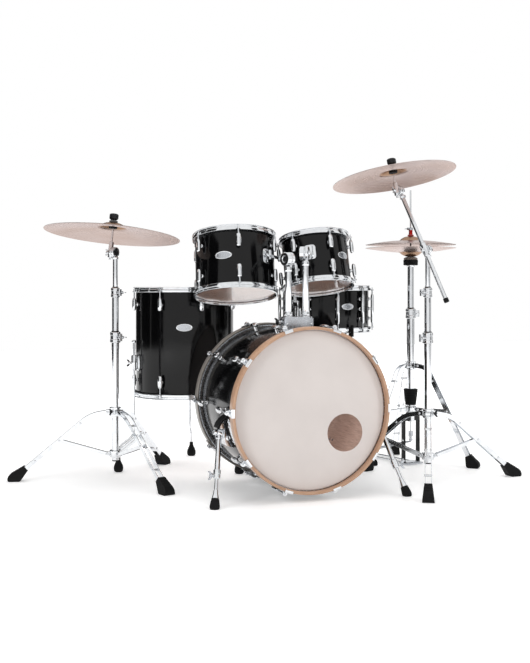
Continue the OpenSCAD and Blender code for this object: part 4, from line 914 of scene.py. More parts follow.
def bass_brackets():
    """The tom holder's base and the brackets of the spurs."""
    s = Shape()
    for side in (-1, 1):
        pin = spur_frame(side) @ spur_pin_frame()
        s.solid([(14, -34), (16, -10), (17, -9), (17, -1.2), (15.5, -0.3)], 40, pin)
        s.bar(6, -10, 22, 28, pin)
        s.solid([(9, 20.4), (10.4, 21.6), (10.4, 30), (9.4, 31.4), (6, 31.6), (5.6, 30.6)], 32, pin)
        housing = rounded([(-38, 62), (-15, 57), (2, 45), (13, 30), (16, 20), (-1, 19), (-2, -18),
                (-6, -40), (-38, -50)], 5, 3)
        s.prism(housing, -25, 25, spur_frame(side) @ rx(90))
        bolt_head(s, spur_frame(side) @ at(-14, -24, -14) @ rx(90), 8.5, 5.0)
        bolt_head(s, spur_frame(side) @ at(-20, -24, 26) @ rx(90), 5.0, 3.4)
        s.skin = RUBBER_SKIN
        arch = rounded([(-36, 66), (-13, 61), (5, 48), (16, 33), (19.5, 20)], 12, 5, False)
        s.ribbon(arch, 6.0, [58] * len(arch), spur_frame(side))
        angle = degrees(atan2(81, side * 297))
        plate = BASS_FRAME @ up(120) @ rz(angle)
        s.wrapped(squarish(59, 54, 64, 0.5), BASS_R, [(0, 0.6), (0.5, 0.6), (0.9, 4.0), (0.98, 3.9),
                (1.0, 3.0), (1.0, 0.0)], plate)
        s.skin = 0
        s.wrapped(squarish(50, 46, 64, 0.5), BASS_R, [(0, 3.6), (0.25, 3.6), (0.5, 3.6), (0.75, 3.6),
                                                     (0.95, 3.5), (1.0, 2.6), (1.0, 1.0)], plate)
        for u in (-36, 36):
            for v in (-32, 32):
                bolt_head(s, plate @ rz(degrees(u / BASS_R)) @ at(BASS_R + 3.4, 0, v) @ ry(90), 4.6, 2.6)
    top = at(BASS.x, BASS.y + HOLDER_BACK, 0)
    s.skin = RUBBER_SKIN
    saddle = BASS_FRAME @ up(HOLDER_BACK) @ rz(-90)
    s.wrapped(squarish(74, 38, 64, 0.4), BASS_R, [(0, 0.5), (0.5, 0.6), (1.0, 1.4), (1.0, 0.0)], saddle)
    s.skin = 0
    s.wrapped(squarish(71, 35, 64, 0.4), BASS_R, [(0, 5.0), (0.3, 5.0), (0.6, 5.0), (0.8, 5.0), (0.96, 4.9),
                                                 (1.0, 3.8), (1.0, 1.0)], saddle)
    outline = rounded([(-60, -27), (60, -27), (60, 27), (-60, 27)], 20, 6)
    s.skin = CAST_SKIN
    s.prism(outline, HOLDER_LOW, HOLDER_TOP, top)
    s.prism([(x * 0.94, y * 0.9) for x, y in outline], HOLDER_TOP - 2, HOLDER_TOP + 5, top)
    s.skin = 0
    for post in (POST_LEFT, POST_RIGHT):
        spot = at(post.x, post.y, 0)
        s.lathe(ring(11.2, 18, 636, 646, 2.0), 40, spot)
        s.of(RUBBER_SKIN).lathe(ring(11.15, 13.5, 640, 646.8, 0.6), 40, spot)
    wing_bolt(s, top @ up(624) @ ry(-90), (7, 58, 64, 4.5, 72), 71, 14, 24, 0, BLACK_SKIN)
    for x in (-46, 46):
        bolt_head(s, top @ at(x, -27, 616) @ rx(90), 5.0, 3.0)
    s.bm.transform(BASS_FRAME.inverted())
    s.piece("bass_brackets", "cast", BASS_FRAME, "kit", soften=1.0)


def spur(side, name):
    """A spur: hinge eye, tube, memory lock with its wing bolt, thinner tube, cup and rubber tip."""
    frame_here = spur_frame(side)
    along = SPUR_REACH.normalized()
    cross = along.cross(SPUR_PIN)
    leg = Matrix((SPUR_PIN, cross, along)).transposed().to_4x4()
    leg.translation = SPUR_PIN * 10
    s = Shape()
    s.lathe(ring(6.1, 15, 0.2, 19.8, 1.5), 44, spur_pin_frame())
    s.bar(9.5, 13, 160, 36, leg)
    s.solid([(11.5, 12), (11.5, 22), (9.6, 25)], 36, leg)
    s.solid([(11, 136.5), (13, 138), (13, 152), (12.2, 153), (13, 154), (13, 167), (11, 168.5)], 36, leg)
    s.bar(6.5, 150, 236, 32, leg)
    s.lathe([(6.4, 207), (7.4, 208), (9.4, 222), (12.4, 236), (13.2, 240), (6.4, 240)], 40, leg)
    out = Vector((24, -8, 0)).normalized()
    turn = to(leg @ Vector((0, 0, 153))) @ facing(out)
    wing_bolt(s, turn, (5, 8, 17, 3.8, 24), 19, 15, 20, 90, CAST_SKIN)
    s.skin = RUBBER_SKIN
    s.solid(rounded([(13.4, 239.9), (14.6, 246), (17.4, 262), (17.6, 270), (14.5, 279), (7, 284)], 4, 3,
            False), 40, leg)
    floor_z = (frame_here.inverted() @ Vector((0, 0, 0))).z
    geometry = s.bm.verts[:] + s.bm.edges[:] + s.bm.faces[:]
    cutting = bmesh.ops.bisect_plane(s.bm, geom=geometry, plane_co=(0, 0, floor_z + 0.05),
                                     plane_no=(0, 0, -1), clear_outer=True)
    rim = [e for e in cutting["geom_cut"] if isinstance(e, bmesh.types.BMEdge)]
    bmesh.ops.contextual_create(s.bm, geom=rim)
    for f in s.bm.faces:
        if abs(f.calc_center_median().z - floor_z) < 0.2:
            f.material_index = RUBBER_SKIN
    s.piece(name, "detailed", frame_here, soften=0.4)


def floor_tom():
    r = FLOOR_R
    drum("floor_tom", "kit", r, FLOOR_DEPTH, 8, FLOOR_LUG_A, FLOOR_TOM_FRAME, CLEAR, "film_clear")
    s = Shape()
    drum_hardware(s, r, FLOOR_DEPTH, 8, FLOOR_LUG_A, 60)
    badge(s, r, 255.5, 64, 66)
    for angle in FLOOR_LEGS.values():
        spot = rz(angle) @ up(FLOOR_BRACKET_Z - FLOOR_TOM.z)
        s.of(RUBBER_SKIN).wrapped(squarish(17, 35), r, [(0, 1.2), (0.5, 1.2), (1.0, 1.2), (1.0, 0)], spot)
        s.wrapped(squarish(15.5, 33), r, [(0, 5), (0.5, 5), (0.9, 4.8), (1.0, 3.4), (1.0, 1)], spot)
        s.lathe([(5.1, -31), (10.5, -31), (12, -28), (12, 28), (10.5, 31), (5.1, 31)], 36,
                spot @ at(r + 20, 0, 0))
        s.block((r + 3, -9, -26), (r + 18, 9, 26), spot, 3)
        wing_bolt(s, spot @ at(r, 0, 0) @ ry(90), (5, 30, 36, 3.6, 42), 37.5, 14)
    s.piece("floor_tom_lugs", "and_brackets", FLOOR_TOM_FRAME, "kit", soften=0.3)


def floor_tom_leg(name, angle):
    """A bent leg with its height lock and rubber foot."""
    place = floor_point_frame(FLOOR_TOM) @ rz(angle)
    r0 = FLOOR_R + 20
    s = Shape()
    path = rounded([(r0, 0, 535), (r0, 0, 145), (FLOOR_FOOT_R, 0, 100), (FLOOR_FOOT_R, 0, 20)], 26, 6, False)
    s.pipe(path, 5.0, 24)
    s.solid([(5.05, 534), (4.2, 535.2)], 24, at(r0, 0, 0))
    s.lathe(ring(4.9, 8.2, 524, 533, 1.2), 32, at(r0, 0, 0))
    bolt_head(s, at(r0 + 8, 0, 528.5) @ ry(90), 3.0, 3.0)
    s.of(RUBBER_SKIN).solid(rounded([(12.5, 0.0), (17.5, 4), (19.4, 12), (19.2, 21), (15.4, 33), (9.6, 44),
            (8, 50), (8, 61), (6, 62)], 5, 4, False), 40, at(FLOOR_FOOT_R, 0, 0))
    s.piece(name, "bent_rod", place)


def floor_point_frame(v):
    return to(floor_point(v))


def arm_angle(post, tom):
    return degrees(atan2(tom.y - post.y, tom.x - post.x))


def rack_tom(size, frame_here, r, depth, first, inset, badge_at):
    body = f"tom_{size}"
    drum(body, body, r, depth, 6, first, frame_here, CLEAR, "film_clear")
    s = Shape()
    drum_hardware(s, r, depth, 6, first, inset)
    badge(s, r, *badge_at)
    s.piece(body + "_lugs", "and_rods", frame_here, body, soften=0.3)


def toothed(s, r, low, high, place, teeth=36):
    """A disc whose rim is cut with teeth."""
    outline = []
    for i in range(2 * teeth):
        t = pi * i / teeth
        outline.append(((r - (i % 2) * 0.9) * cos(t), (r - (i % 2) * 0.9) * sin(t)))
    s.prism(outline, low, high, place)


def tilter_disc(s, r, low, high, place):
    """A tilter's half: a dished disc from low to high with teeth at the joint, at low."""
    s.solid([(r - 1.4, low + 2.6), (r, low + 3.4), (r, high - 2.2), (r - 1.8, high - 0.4), (r * 0.72, high),
             (r * 0.5, high), (r * 0.46, high - 2.4), (r * 0.3, high - 2.4)], 44, place)
    toothed(s, r - 0.2, low, low + 2.8, place)
    s.of(BLACK_SKIN).solid([(r * 0.32, high - 2.6), (r * 0.3, high - 1.3)], 32, place)


def tom_post(name, post, tom):
    """A post with its height lock and the fixed half of the tilter."""
    angle = arm_angle(post, tom)
    s = Shape()
    s.solid([(10.4, 505 - post.z), (11.1, 506 - post.z), (11.1, -30)], 44)
    s.lathe(ring(11.0, 16.1, 646.3 - post.z, 660.3 - post.z, 1.6), 40)
    s.block((10, -5.5, 648 - post.z), (22, 5.5, 658.5 - post.z), rz(250), 1.5)
    bolt_head(s, rz(250) @ at(18, -5.5, 653 - post.z) @ rx(90), 3.2, 6)
    hinge = rz(angle) @ rx(90)
    tilter_disc(s, TOM_DISC_R, 0.2, POST_HALF_W, hinge)
    s.bar(5, -18.5, 3, 28, hinge)
    s.block((-9, -TOM_DISC_R - 7, 0.8), (9, -TOM_DISC_R + 6, 10.4), hinge, 2)
    s.solid([(12.6, -46), (13.6, -44), (13.6, -33), (11.4, -27.4)], 36, HERE)
    s.solid([(8, POST_HALF_W - 3), (8, POST_HALF_W + 3.4), (6.6, POST_HALF_W + 4.6)], 32, hinge)
    s.solid([(5.4, POST_HALF_W + 4), (5.4, POST_HALF_W + 7.4), (4.6, POST_HALF_W + 8)], 6, hinge)
    s.piece(name, "detailed", to(post), soften=0.5)


def tom_mount(size, post, tom, frame_here, r, lean, drop, swing):
    """A tom's shell bracket, turned round it by swing, and the arm that carries it on the tilter."""
    angle = arm_angle(post, tom)
    s = Shape()
    hinge = to(post) @ rz(angle) @ rx(90)
    tilter_disc(s, TOM_DISC_R, 0.2, TOM_HALF_W, hinge @ FLIP)
    start = post + compass(angle + 90) * TOM_HALF_W / 2
    arm = (start + compass(angle) * 18, socket_of(tom, lean, angle + swing, r, drop))
    s.rod(arm[0], arm[1], 6.0, 28)
    way = (arm[1] - arm[0]).normalized()
    lock = to(arm[0] + way * 26) @ facing(way)
    bracket = frame_here @ rz(angle + 180 + swing)
    s.of(RUBBER_SKIN).wrapped(squarish(23.5, 29.5), r, [(0, 1.2), (0.5, 1.2), (1.0, 1.3), (1.0, 0)],
              bracket @ up(drop))
    s.wrapped(squarish(22, 28), r, [(0, 5.8), (0.5, 5.8), (0.9, 5.6), (1.0, 4.2), (1.0, 1)],
              bracket @ up(drop))
    s.block((r + 4, -14, drop - 18), (r + 29, 14, drop + 18), bracket, 5)
    for v in (-20.5, 20.5):
        bolt_head(s, bracket @ at(r + 5.6, 0, drop + v) @ ry(90), 3.8, 2.4)
    s.lathe(ring(5.9, 9.6, -3.5, 3.5, 1.0), 32, lock)
    wing_bolt(s, bracket @ at(r + 17, 0, drop) @ rx(90), (5.5, 12, 17, 4, 21), 19, 11)
    s.piece(f"tom_{size}_mount", "cast", HERE, f"tom_{size}", soften=0.8)


def socket_of(tom, lean, angle, r, drop):
    side = compass(angle + 180) * (r + 16)
    return leaned(tom, lean) @ Vector((side.x, side.y, drop))


def rack_toms():
    rack_tom(12, TOM_12_FRAME, TOM_12_R, TOM_12_DEPTH, first=258.5, inset=52, badge_at=(236.5, 6, 66))
    rack_tom(10, TOM_10_FRAME, TOM_10_R, TOM_10_DEPTH, first=274, inset=46, badge_at=(303, 0, 60))
    tom_post("tom_post_left", POST_LEFT, TOM_12)
    tom_post("tom_post_right", POST_RIGHT, TOM_10)
    tom_mount(12, POST_LEFT, TOM_12, TOM_12_FRAME, TOM_12_R, TOM_12_LEAN, drop=10, swing=14)
    tom_mount(10, POST_RIGHT, TOM_10, TOM_10_FRAME, TOM_10_R, TOM_10_LEAN, drop=12, swing=0)


def snare_drum():
    r, half = SNARE_R, SNARE_DEPTH / 2
    rims = drum("snare", "snare", r, SNARE_DEPTH, 10, SNARE_LUG_A, SNARE_FRAME, COATED, "film_white", 0)
    s = Shape()
    for angle in (STRAINER_A, STRAINER_A - 180):
        s.block((r - 5, -23, -half - 7), (r + 20, 23, -half - 2), rz(angle))
    cut_out(rims, s, SNARE_FRAME)
    soft_edges(rims, 0.5)

    s = Shape()
    for turn in round_places(10, SNARE_LUG_A):
        body = [(3.4, -59.5), (5.4, -58), (5.4, -54), (6.3, -52), (6.3, 52), (5.4, 54), (5.4, 58),
                (3.4, 59.5)]
        s.solid(body, 28, turn @ at(r + ROD_OFF, 0, 0))
        for z in (-40, 0, 40):
            foot = turn @ up(z) @ ry(90)
            s.solid([(7.2, r + 0.9), (6.8, r + 2.4), (5.0, r + 4.2), (5.0, r + ROD_OFF)], 24, foot)
            s.of(RUBBER_SKIN).bar(7.8, r - 0.6, r + 1.0, 24, foot)
        shell_screws(s, turn, r, (-40, 0, 40))
        for end in ends(SNARE_DEPTH):
            s.of(THREAD_SKIN).bar(2.9, -30, -6, 16, end @ turn @ at(r + ROD_OFF, 0, 0))
            key_head(s, end @ turn @ at(r + ROD_OFF, 0, -6.7))
    badge(s, r, 278, 10, 56)
    for angle, top in ((STRAINER_A, 10), (STRAINER_A - 180, -16)):
        spot = rz(angle)
        s.wrapped(squarish(18, (top + 58) / 2 + 2), r, [(0, 4), (0.5, 4), (0.92, 3.8), (1.0, 2.6),
                (1.0, 0.3)], spot @ up((top - 58) / 2))
        s.block((r + 2, -14, -56), (r + 15, 14, top), spot, 4)
        for z in (-50, top - 8):
            bolt_head(s, spot @ at(r + 15, 0, z) @ ry(90), 4.0, 2.4)
        s.block((r + 13, -11, -44), (r + 16, 11, top - 20), spot, 3)
    spot = rz(STRAINER_A)
    for y in (-16, 12):
        s.prism(rounded([(r + 2, 2), (r + 13, 2), (r + 18, 24), (r + 18, 36), (r + 6, 36), (r + 2, 24)], 3),
                -y - 4, -y, spot @ rx(90))
    s.bar(2.5, -14.5, 14.5, 20, spot @ at(r + 12, 0, 30) @ rx(90))
    for y in (-1, 1):
        bolt_head(s, spot @ at(r + 12, y * 16, 30) @ rx(-90 * y), 4.0, 2.0)
    s.solid([(5.5, -76), (6.5, -75), (6.5, -64), (5, -63), (3, -62), (3, -56)], 12, spot @ at(r + 9, 0, 0))
    s.piece("snare_lugs", "and_strainer", SNARE_FRAME, "snare", soften=0.3)

    s = Shape()
    wire_z = -half - 1.8
    thick = [0.85 if k % 2 else 0.6 for k in range(COIL_POINTS)]
    for i in range(WIRES):
        s.pipe([(-148 + COIL_PITCH * k, (i - 9.5) * 2.2, wire_z) for k in range(COIL_POINTS)], thick, 6)
    for side in (-1, 1):
        s.block((side * 152 - 8, -22, wire_z - 1), (side * 152 + 8, 22, wire_z + 1), HERE, 2)
        strap = [(side * 152, wire_z - 2.5), (side * 188, wire_z - 2.5), (side * 196, wire_z + 4),
                 (side * 197, wire_z + 32)]
        s.skin = RUBBER_SKIN
        strap = rounded(strap, 7, 4, False)
        s.ribbon(strap, 1.0, [28] * len(strap))
        s.skin = 0
    s.piece("snare_wires", "coiled", SNARE_FRAME @ rz(STRAINER_A), "snare", slot="steel")

    s = Shape()
    s.solid([(4.6, -10.5), (5.4, -9.6), (5.4, 9.6), (4.6, 10.5)], 28, rx(90))
    outline = rounded([(-8, 1), (8, 1), (7, 26), (8.4, 42), (7, 51), (0, 54), (-7, 51), (-8.4, 42),
            (-7, 26)], 4)
    s.prism(outline, 2, 6.4, SIDEWAYS)
    s.piece("strainer_lever", "cast", SNARE_FRAME @ spot @ at(r + 12, 0, 30), soften=0.8)


# ---- Tripods, tubes and clamps ----


def leg_line(reach, top_z):
    """A leg's line in x and z: its top, its knee and where it meets the sole."""
    return Vector((14, top_z)), Vector((reach * 0.24, top_z - reach * 0.035)), Vector((reach - 34, 20))


def leg_end(reach, top_z):
    """Where the leg's strips end in the mouth of the foot, and their direction."""
    _, knee, sole = leg_line(reach, top_z)
    along = (sole - knee).normalized()
    return sole + along * (FOOT_MOUTH_Z - sole.y) / along.y, along


def tripod(s, angles, reach, top_z, low_z, joint, collar_r, bore=13.5):
    """Two collars with a wing bolt, and three legs of paired strips with their braces and rivets."""
    half = STRIP_GAP / 2
    top, knee, sole = leg_line(reach, top_z)
    end, along = leg_end(reach, top_z)
    meet = knee + (sole - knee) * joint
    low = (collar_r + 8, low_z)
    leg = band(rounded([tuple(top), tuple(knee), tuple(end + along * 10)], 70, 10, False), STRIP_W)
    rivets = [knee + (end - knee) * share for share in (0.15, 0.86)]
    brace = band([low, tuple(meet)], STRIP_W - 3.5)
    for angle in angles:
        turn = rz(angle)
        flat = turn @ rx(90)
        for side in (-1, 1):
            y = side * (half + STRIP_T / 2)
            s.prism(leg, y - STRIP_T / 2, y + STRIP_T / 2, flat)
            y = side * (half - STRIP_T / 2 - 0.2)
            s.prism(brace, y - STRIP_T / 2, y + STRIP_T / 2, flat)
            for p in rivets + [meet]:
                bolt_head(s, turn @ at(p.x, side * (half + STRIP_T), p.y) @ rx(-90 * side), 4.4, 2.4)
            for p, out in (((collar_r + 8, top_z - 2), half + STRIP_T), (low, half - 0.2)):
                bolt_head(s, turn @ at(p[0], side * out, p[1]) @ rx(-90 * side), 5.0, 2.8)
            for p in (low, tuple(meet)):
                s.bar(STRIP_W / 2 - 1.8, -STRIP_T / 2, STRIP_T / 2, 24,
                        turn @ at(p[0], y, p[1]) @ rx(90))
        for p in rivets:
            s.bar(4.6, -half, half, 20, turn @ at(p.x, 0, p.y) @ rx(90))
        s.prism(rounded([(bore, -12), (collar_r + 10, -12), (collar_r + 15, -6), (collar_r + 15, 4),
                         (collar_r + 10, 8), (bore, 8)], 2), -half + 0.2, half - 0.2, up(top_z) @ flat)
        s.prism(rounded([(bore, -8), (collar_r + 9, -8), (collar_r + 14, 0), (collar_r + 9, 8), (bore, 8)],
                2), -half + STRIP_T + 0.5, half - STRIP_T - 0.5, up(low_z) @ flat)
    s.lathe([(bore, top_z - 18), (collar_r - 1.5, top_z - 18), (collar_r, top_z - 16.5),
            (collar_r, top_z - 11), (collar_r - 2, top_z - 9), (collar_r - 2, top_z + 6),
            (collar_r, top_z + 8), (collar_r, top_z + 14), (collar_r - 1.5, top_z + 16),
            (bore, top_z + 16)], 48)
    s.lathe(ring(bore, collar_r, low_z - 14, low_z + 14, 2.0), 48)
    spare = rz((angles[0] + angles[1]) / 2 + (180 if abs(angles[0] - angles[1]) > 180 else 0))
    wing_bolt(s, spare @ up(top_z) @ ry(90), (7, collar_r - 3, collar_r + 3, 4, collar_r + 9),
              collar_r + 7, 12, 24, 0, BLACK_SKIN)


def tube(s, outer, inner, low, high):
    s.lathe([(inner, low), (outer - 0.8, low), (outer, low + 0.8), (outer, high - 0.8), (outer - 0.8, high),
             (inner, high)], 48)


def tube_clamp(s, inner, outer, h, angle, z):
    """A hinged clamp round a tube, with its wing bolt, and the nylon sleeve inside it."""
    spot = up(z) @ rz(angle)
    s.lathe([(inner, 0), (outer - 2, 0), (outer, 2), (outer, 0.28 * h), (outer - 1.2, 0.32 * h),
            (outer - 1.2, 0.68 * h), (outer, 0.72 * h), (outer, h - 2.5), (outer - 2.5, h), (inner, h)],
            48, spot)
    for low, high in ((0.16 * h, 0.47 * h), (0.53 * h, 0.84 * h)):
        s.block((outer - 6, -7, low), (outer + 15, 7, high), spot, 4)
    wing_bolt(s, spot @ at(outer + 8, 7, h / 2) @ rx(-90), (4.5, -1, 1, 3.6, 7), 4, 12)
    s.solid([(5.2, 0), (5.2, 4), (4, 5)], 6, spot @ at(outer + 8, -7, h / 2) @ rx(90))
    s.of(RUBBER_SKIN).lathe(ring(inner, inner + 2.2, h - 3, h + 4, 0.6), 40, spot)


def cymbal_stand_base(name, here, angles, clamp_a):
    s = Shape()
    tripod(s, angles, TRIPOD_REACH, TRIPOD_TOP, TRIPOD_LOW, 0.42, 23)
    tube(s, BASE_R, BASE_BORE, 75, 560)
    tube_clamp(s, BASE_BORE, 20, 42, clamp_a, 534)
    s.of(RUBBER_SKIN).solid([(11, 70.5), (13.4, 71.5), (13.4, 76)], 40)
    s.piece(name, "detailed", floor_point_frame(here), "kit", soften=0.4)


def middle_tube(name, here, clamp_a):
    s = Shape()
    tube(s, MID_R, MID_BORE, 330, 735)
    tube_clamp(s, MID_BORE, 17, 38, clamp_a, 711)
    s.piece(name, "detailed", floor_point_frame(here), soften=0.4)


def top_rod(s, low, high):
    """The solid rod that slides in a stand's tubes, softened at its lower end."""
    s.solid([(TOP_R - 0.4, low), (TOP_R, low + 1), (TOP_R, high)], 40)


def boot(reach, top_z):
    """The side outline of a foot: toe, sole and heel, with grip grooves up its front."""
    end, along = leg_end(reach, top_z)
    left = Vector((-along.y, along.x))
    start = end + along * 0.3
    high, low, brow = start + left * 13, start - left * 11, Vector((reach - 13, 31))
    edge = [tuple(low), tuple(low + along * 5 - left * 1.5), (reach - 54, 8), (reach - 50, 2.4),
            (reach - 45, 0.05), (reach - 6, 0.05), (reach - 1.5, 2.5), (reach, 9), (reach - 2.5, 21),
            tuple(brow)]
    for k in range(1, 4):
        p = brow.lerp(high, k / 4)
        edge += [tuple(p + along * 1.5), tuple(p - left * 1.7), tuple(p - along * 1.5)]
    return rounded(edge + [tuple(high)], 4.0, 4)


def rubber_feet():
    """Boots of solid rubber, narrower at the mouth, one on each leg of the stands."""
    s = Shape()
    for here, angles, reach, top_z in (
            (RIDE, RIDE_LEGS, TRIPOD_REACH, TRIPOD_TOP), (CRASH, CRASH_LEGS, TRIPOD_REACH, TRIPOD_TOP),
            (HIHAT, HIHAT_LEGS, HIHAT_REACH, HIHAT_COLLAR_Z), (SNARE, SNARE_LEGS, SNARE_REACH, SNARE_TOP)):
        for angle in angles:
            one = Shape()
            one.prism(boot(reach, top_z), -FOOT_W / 2, FOOT_W / 2, rx(90))
            for v in one.bm.verts:
                v.co.y *= 1.1 - 0.0068 * v.co.z
            s.copy_of(one, floor_point_frame(here) @ rz(angle))
            one.bm.free()
    s.piece("stand_feet", "moulded", HERE, "kit", [RUBBER], "rubber", soften=4.5)


# ---- Tilters and cymbals ----


def tilter_fixed(s, place, neck):
    """A tilter's fixed half on its tube: y along the hinge, teeth on the +y side."""
    hinge = place @ rx(-90)
    tilter_disc(s, DISC_R, -DISC_HALF, DISC_HALF, hinge @ FLIP)
    s.bar(5, 3.5, 13, 28, hinge)
    s.block((-7, -DISC_HALF + 0.6, -neck), (7, DISC_HALF - 0.6, -8), place, 1.5)
    s.solid([(12.4, -neck - 4), (13, -neck - 3), (13, -neck + 3), (9.6, -neck + 6)], 36, place)
    s.of(BLACK_SKIN).solid([(13.5, DISC_HALF - 1.2), (13.5, DISC_HALF + 0.8), (12.4, DISC_HALF + 1.6)], 36,
            hinge @ FLIP)


def lobed_knob(s, place, r, low, high, lobes=7):
    """A moulded knob from its neck up, with round lobes to grip."""
    rows = []
    steps = [(0.62, 0, 0), (0.7, 0, 0.02), (0.93, 0.6, 0.16), (0.99, 1, 0.22), (1.0, 1, 0.3),
            (1.0, 1, 0.76), (0.98, 1, 0.84), (0.9, 0.9, 0.93), (0.78, 0.5, 0.98), (0.7, 0, 1.0)]
    for share, depth, height in steps:
        row = []
        for k in range(lobes * 10):
            t = 2 * pi * k / (lobes * 10)
            reach = r * share * (1 - 0.13 * depth * (0.5 - 0.5 * cos(lobes * t)) ** 1.6)
            row.append((reach * cos(t), reach * sin(t), low + (high - low) * height))
        rows.append(row)
    made = s.grid(rows, place=place)
    s.face(made[0][::-1])
    s.face(made[-1])


def cymbal_tilter(name, hinge_at, lean, seat):
    """The moving half: toothed disc, sleeve, threaded cymbal rod, seat cup and knob."""
    s = Shape()
    hinge = rx(-90)
    tilter_disc(s, DISC_R, DISC_HALF + 0.3, 18, hinge)
    s.solid([(9, 12), (8, 20), (8, ROD_SIDE)], 36, hinge)
    rod = at(0, ROD_SIDE, 0)
    sleeve = 0.39 * seat
    s.solid([(7.6, -22.5), (9.5, -21), (9.5, sleeve - 4), (8.4, sleeve - 1), (6, sleeve)], 36, rod)
    s.bar(4, -30, seat + 8, 24, rod)
    s.of(THREAD_SKIN).bar(3.9, seat + 8, seat + 31.6, 24, rod)
    s.of(RUBBER_SKIN).solid([(7, seat - 13), (15.5, seat - 13), (17, seat - 11.6), (17, seat - 5),
            (15.8, seat - 3.4), (15, seat - 3), (7.5, seat - 1.5)], 44, rod)
    s.skin = BLACK_SKIN
    lobed_knob(s, rod, 18, seat + 20.8, seat + 45.6)
    s.skin = 0
    wing_bolt(s, rod @ hinge, (5.6, 8, 14, 4, 18), 14, 12.5, 24, 90)
    s.piece(name, "detailed", tilted(hinge_at, lean), soften=0.5)


def tilted(hinge_at, lean):
    return to(hinge_at) @ rz(lean[1]) @ ry(lean[0])


def felts(name, place):
    s = Shape()
    for low in (0, 10):
        s.lathe(ring(6.2, 17, low, low + 8, 2.4))
    s.piece(name, "pressed", place, finishes=[GREY_FELT], slot="felt", crease=60)


def cymbal_height(q, r, bell_r, bell_h, bow_h):
    if q < bell_r:
        return -bell_h * (max(q - 12, 0) / (bell_r - 12)) ** 2
    return -bell_h - bow_h * ((q - bell_r) / (r - bell_r)) ** 1.5


def cymbal(name, r, bell_r, bell_h, bow_h, place):
    """A cymbal from its hole out over the bell and bow to its thin edge."""
    radii = [6.0, 8.0, 12.0] + [12 + (bell_r - 12) * k / 12 for k in range(1, 13)]
    radii += [bell_r + (r - bell_r) * k / 30 for k in range(1, 31)]
    under = [(q, cymbal_height(q, r, bell_r, bell_h, bow_h)) for q in radii]
    over = [(q, z + CYMBAL_T - 0.5 * ((q - 6) / (r - 6)) ** 2) for q, z in under]
    s = Shape()
    s.lathe(under + over[::-1], 192)
    s.piece(name, "turned", place, finishes=[BRONZE], slot="cymbal_bronze", crease=60)


def top_of_stand(name, hinge_at, lean, seat, sizes):
    """The tilter of a stand with its felts and its cymbal."""
    cymbal_tilter(name + "_tilter", hinge_at, lean, seat)
    place = tilted(hinge_at, lean) @ at(0, ROD_SIDE, seat)
    felts(name + "_felts", place)
    cymbal(name + "_cymbal", *sizes, place @ up(FELT_TOP))


def ride():
    cymbal_stand_base("ride_stand_base", RIDE, RIDE_LEGS, -60)
    middle_tube("ride_mid_tube", RIDE, -60)
    s = Shape()
    top_rod(s, 520 - RIDE.z, -20)
    tilter_fixed(s, rz(RIDE_LEAN[1]), DISC_R + 4)
    s.piece("ride_top_tube", "detailed", to(RIDE), soften=0.5)
    top_of_stand("ride", RIDE, RIDE_LEAN, RIDE_SEAT, RIDE_SHAPE)


def crash():
    cymbal_stand_base("crash_stand_base", CRASH, CRASH_LEGS, 180)
    middle_tube("crash_mid_tube", CRASH, 180)
    boom = to(CRASH) @ rz(BOOM_AZ)
    s = Shape()
    top_rod(s, 520 - CRASH.z, -20)
    tilter_fixed(s, HERE, DISC_R + 4)
    wing_bolt(s, rx(90), (6, 5, 15, 4, 18), 13, 12, 24, 90)
    s.piece("crash_top_tube", "detailed", boom, soften=0.5)
    s = Shape()
    hinge = rx(-90)
    tilter_disc(s, DISC_R, DISC_HALF + 0.3, 14, hinge)
    s.bar(10, 12, 18, 36, hinge)
    s.lathe(rounded([(8.06, -28), (11.5, -28), (12.2, -10), (12.2, 10), (11.5, 28), (8.06, 28)], 1.5), 40,
            at(0, BOOM_SIDE, 0))
    s.block((-7, 29, -18), (7, 35, 18), HERE, 2)
    wing_bolt(s, hinge, (6, 33, 39, 4, 43), 39, 12.5, 24, 90)
    s.piece("crash_clamp", "detailed", boom @ ry(BOOM_LEAN), soften=0.6)
    s = Shape()
    s.solid([(8, -208), (8, 234), (7.4, 236)], 36)
    s.of(RUBBER_SKIN).solid(rounded([(7, -222), (10, -222), (10, -206), (8, -206)], 2, 3, False), 36)
    tilter_fixed(s, up(259), DISC_R + 8)
    s.piece("crash_arm", "detailed", boom @ ry(BOOM_LEAN) @ at(0, BOOM_SIDE, 0), soften=0.5)
    top_of_stand("crash", CRASH_TOP, CRASH_LEAN, CRASH_SEAT, CRASH_SHAPE)


# ---- Snare stand ----

SNARE_HINGE = pivot("snare_tilt")
SNARE_TIP_A = 61.5


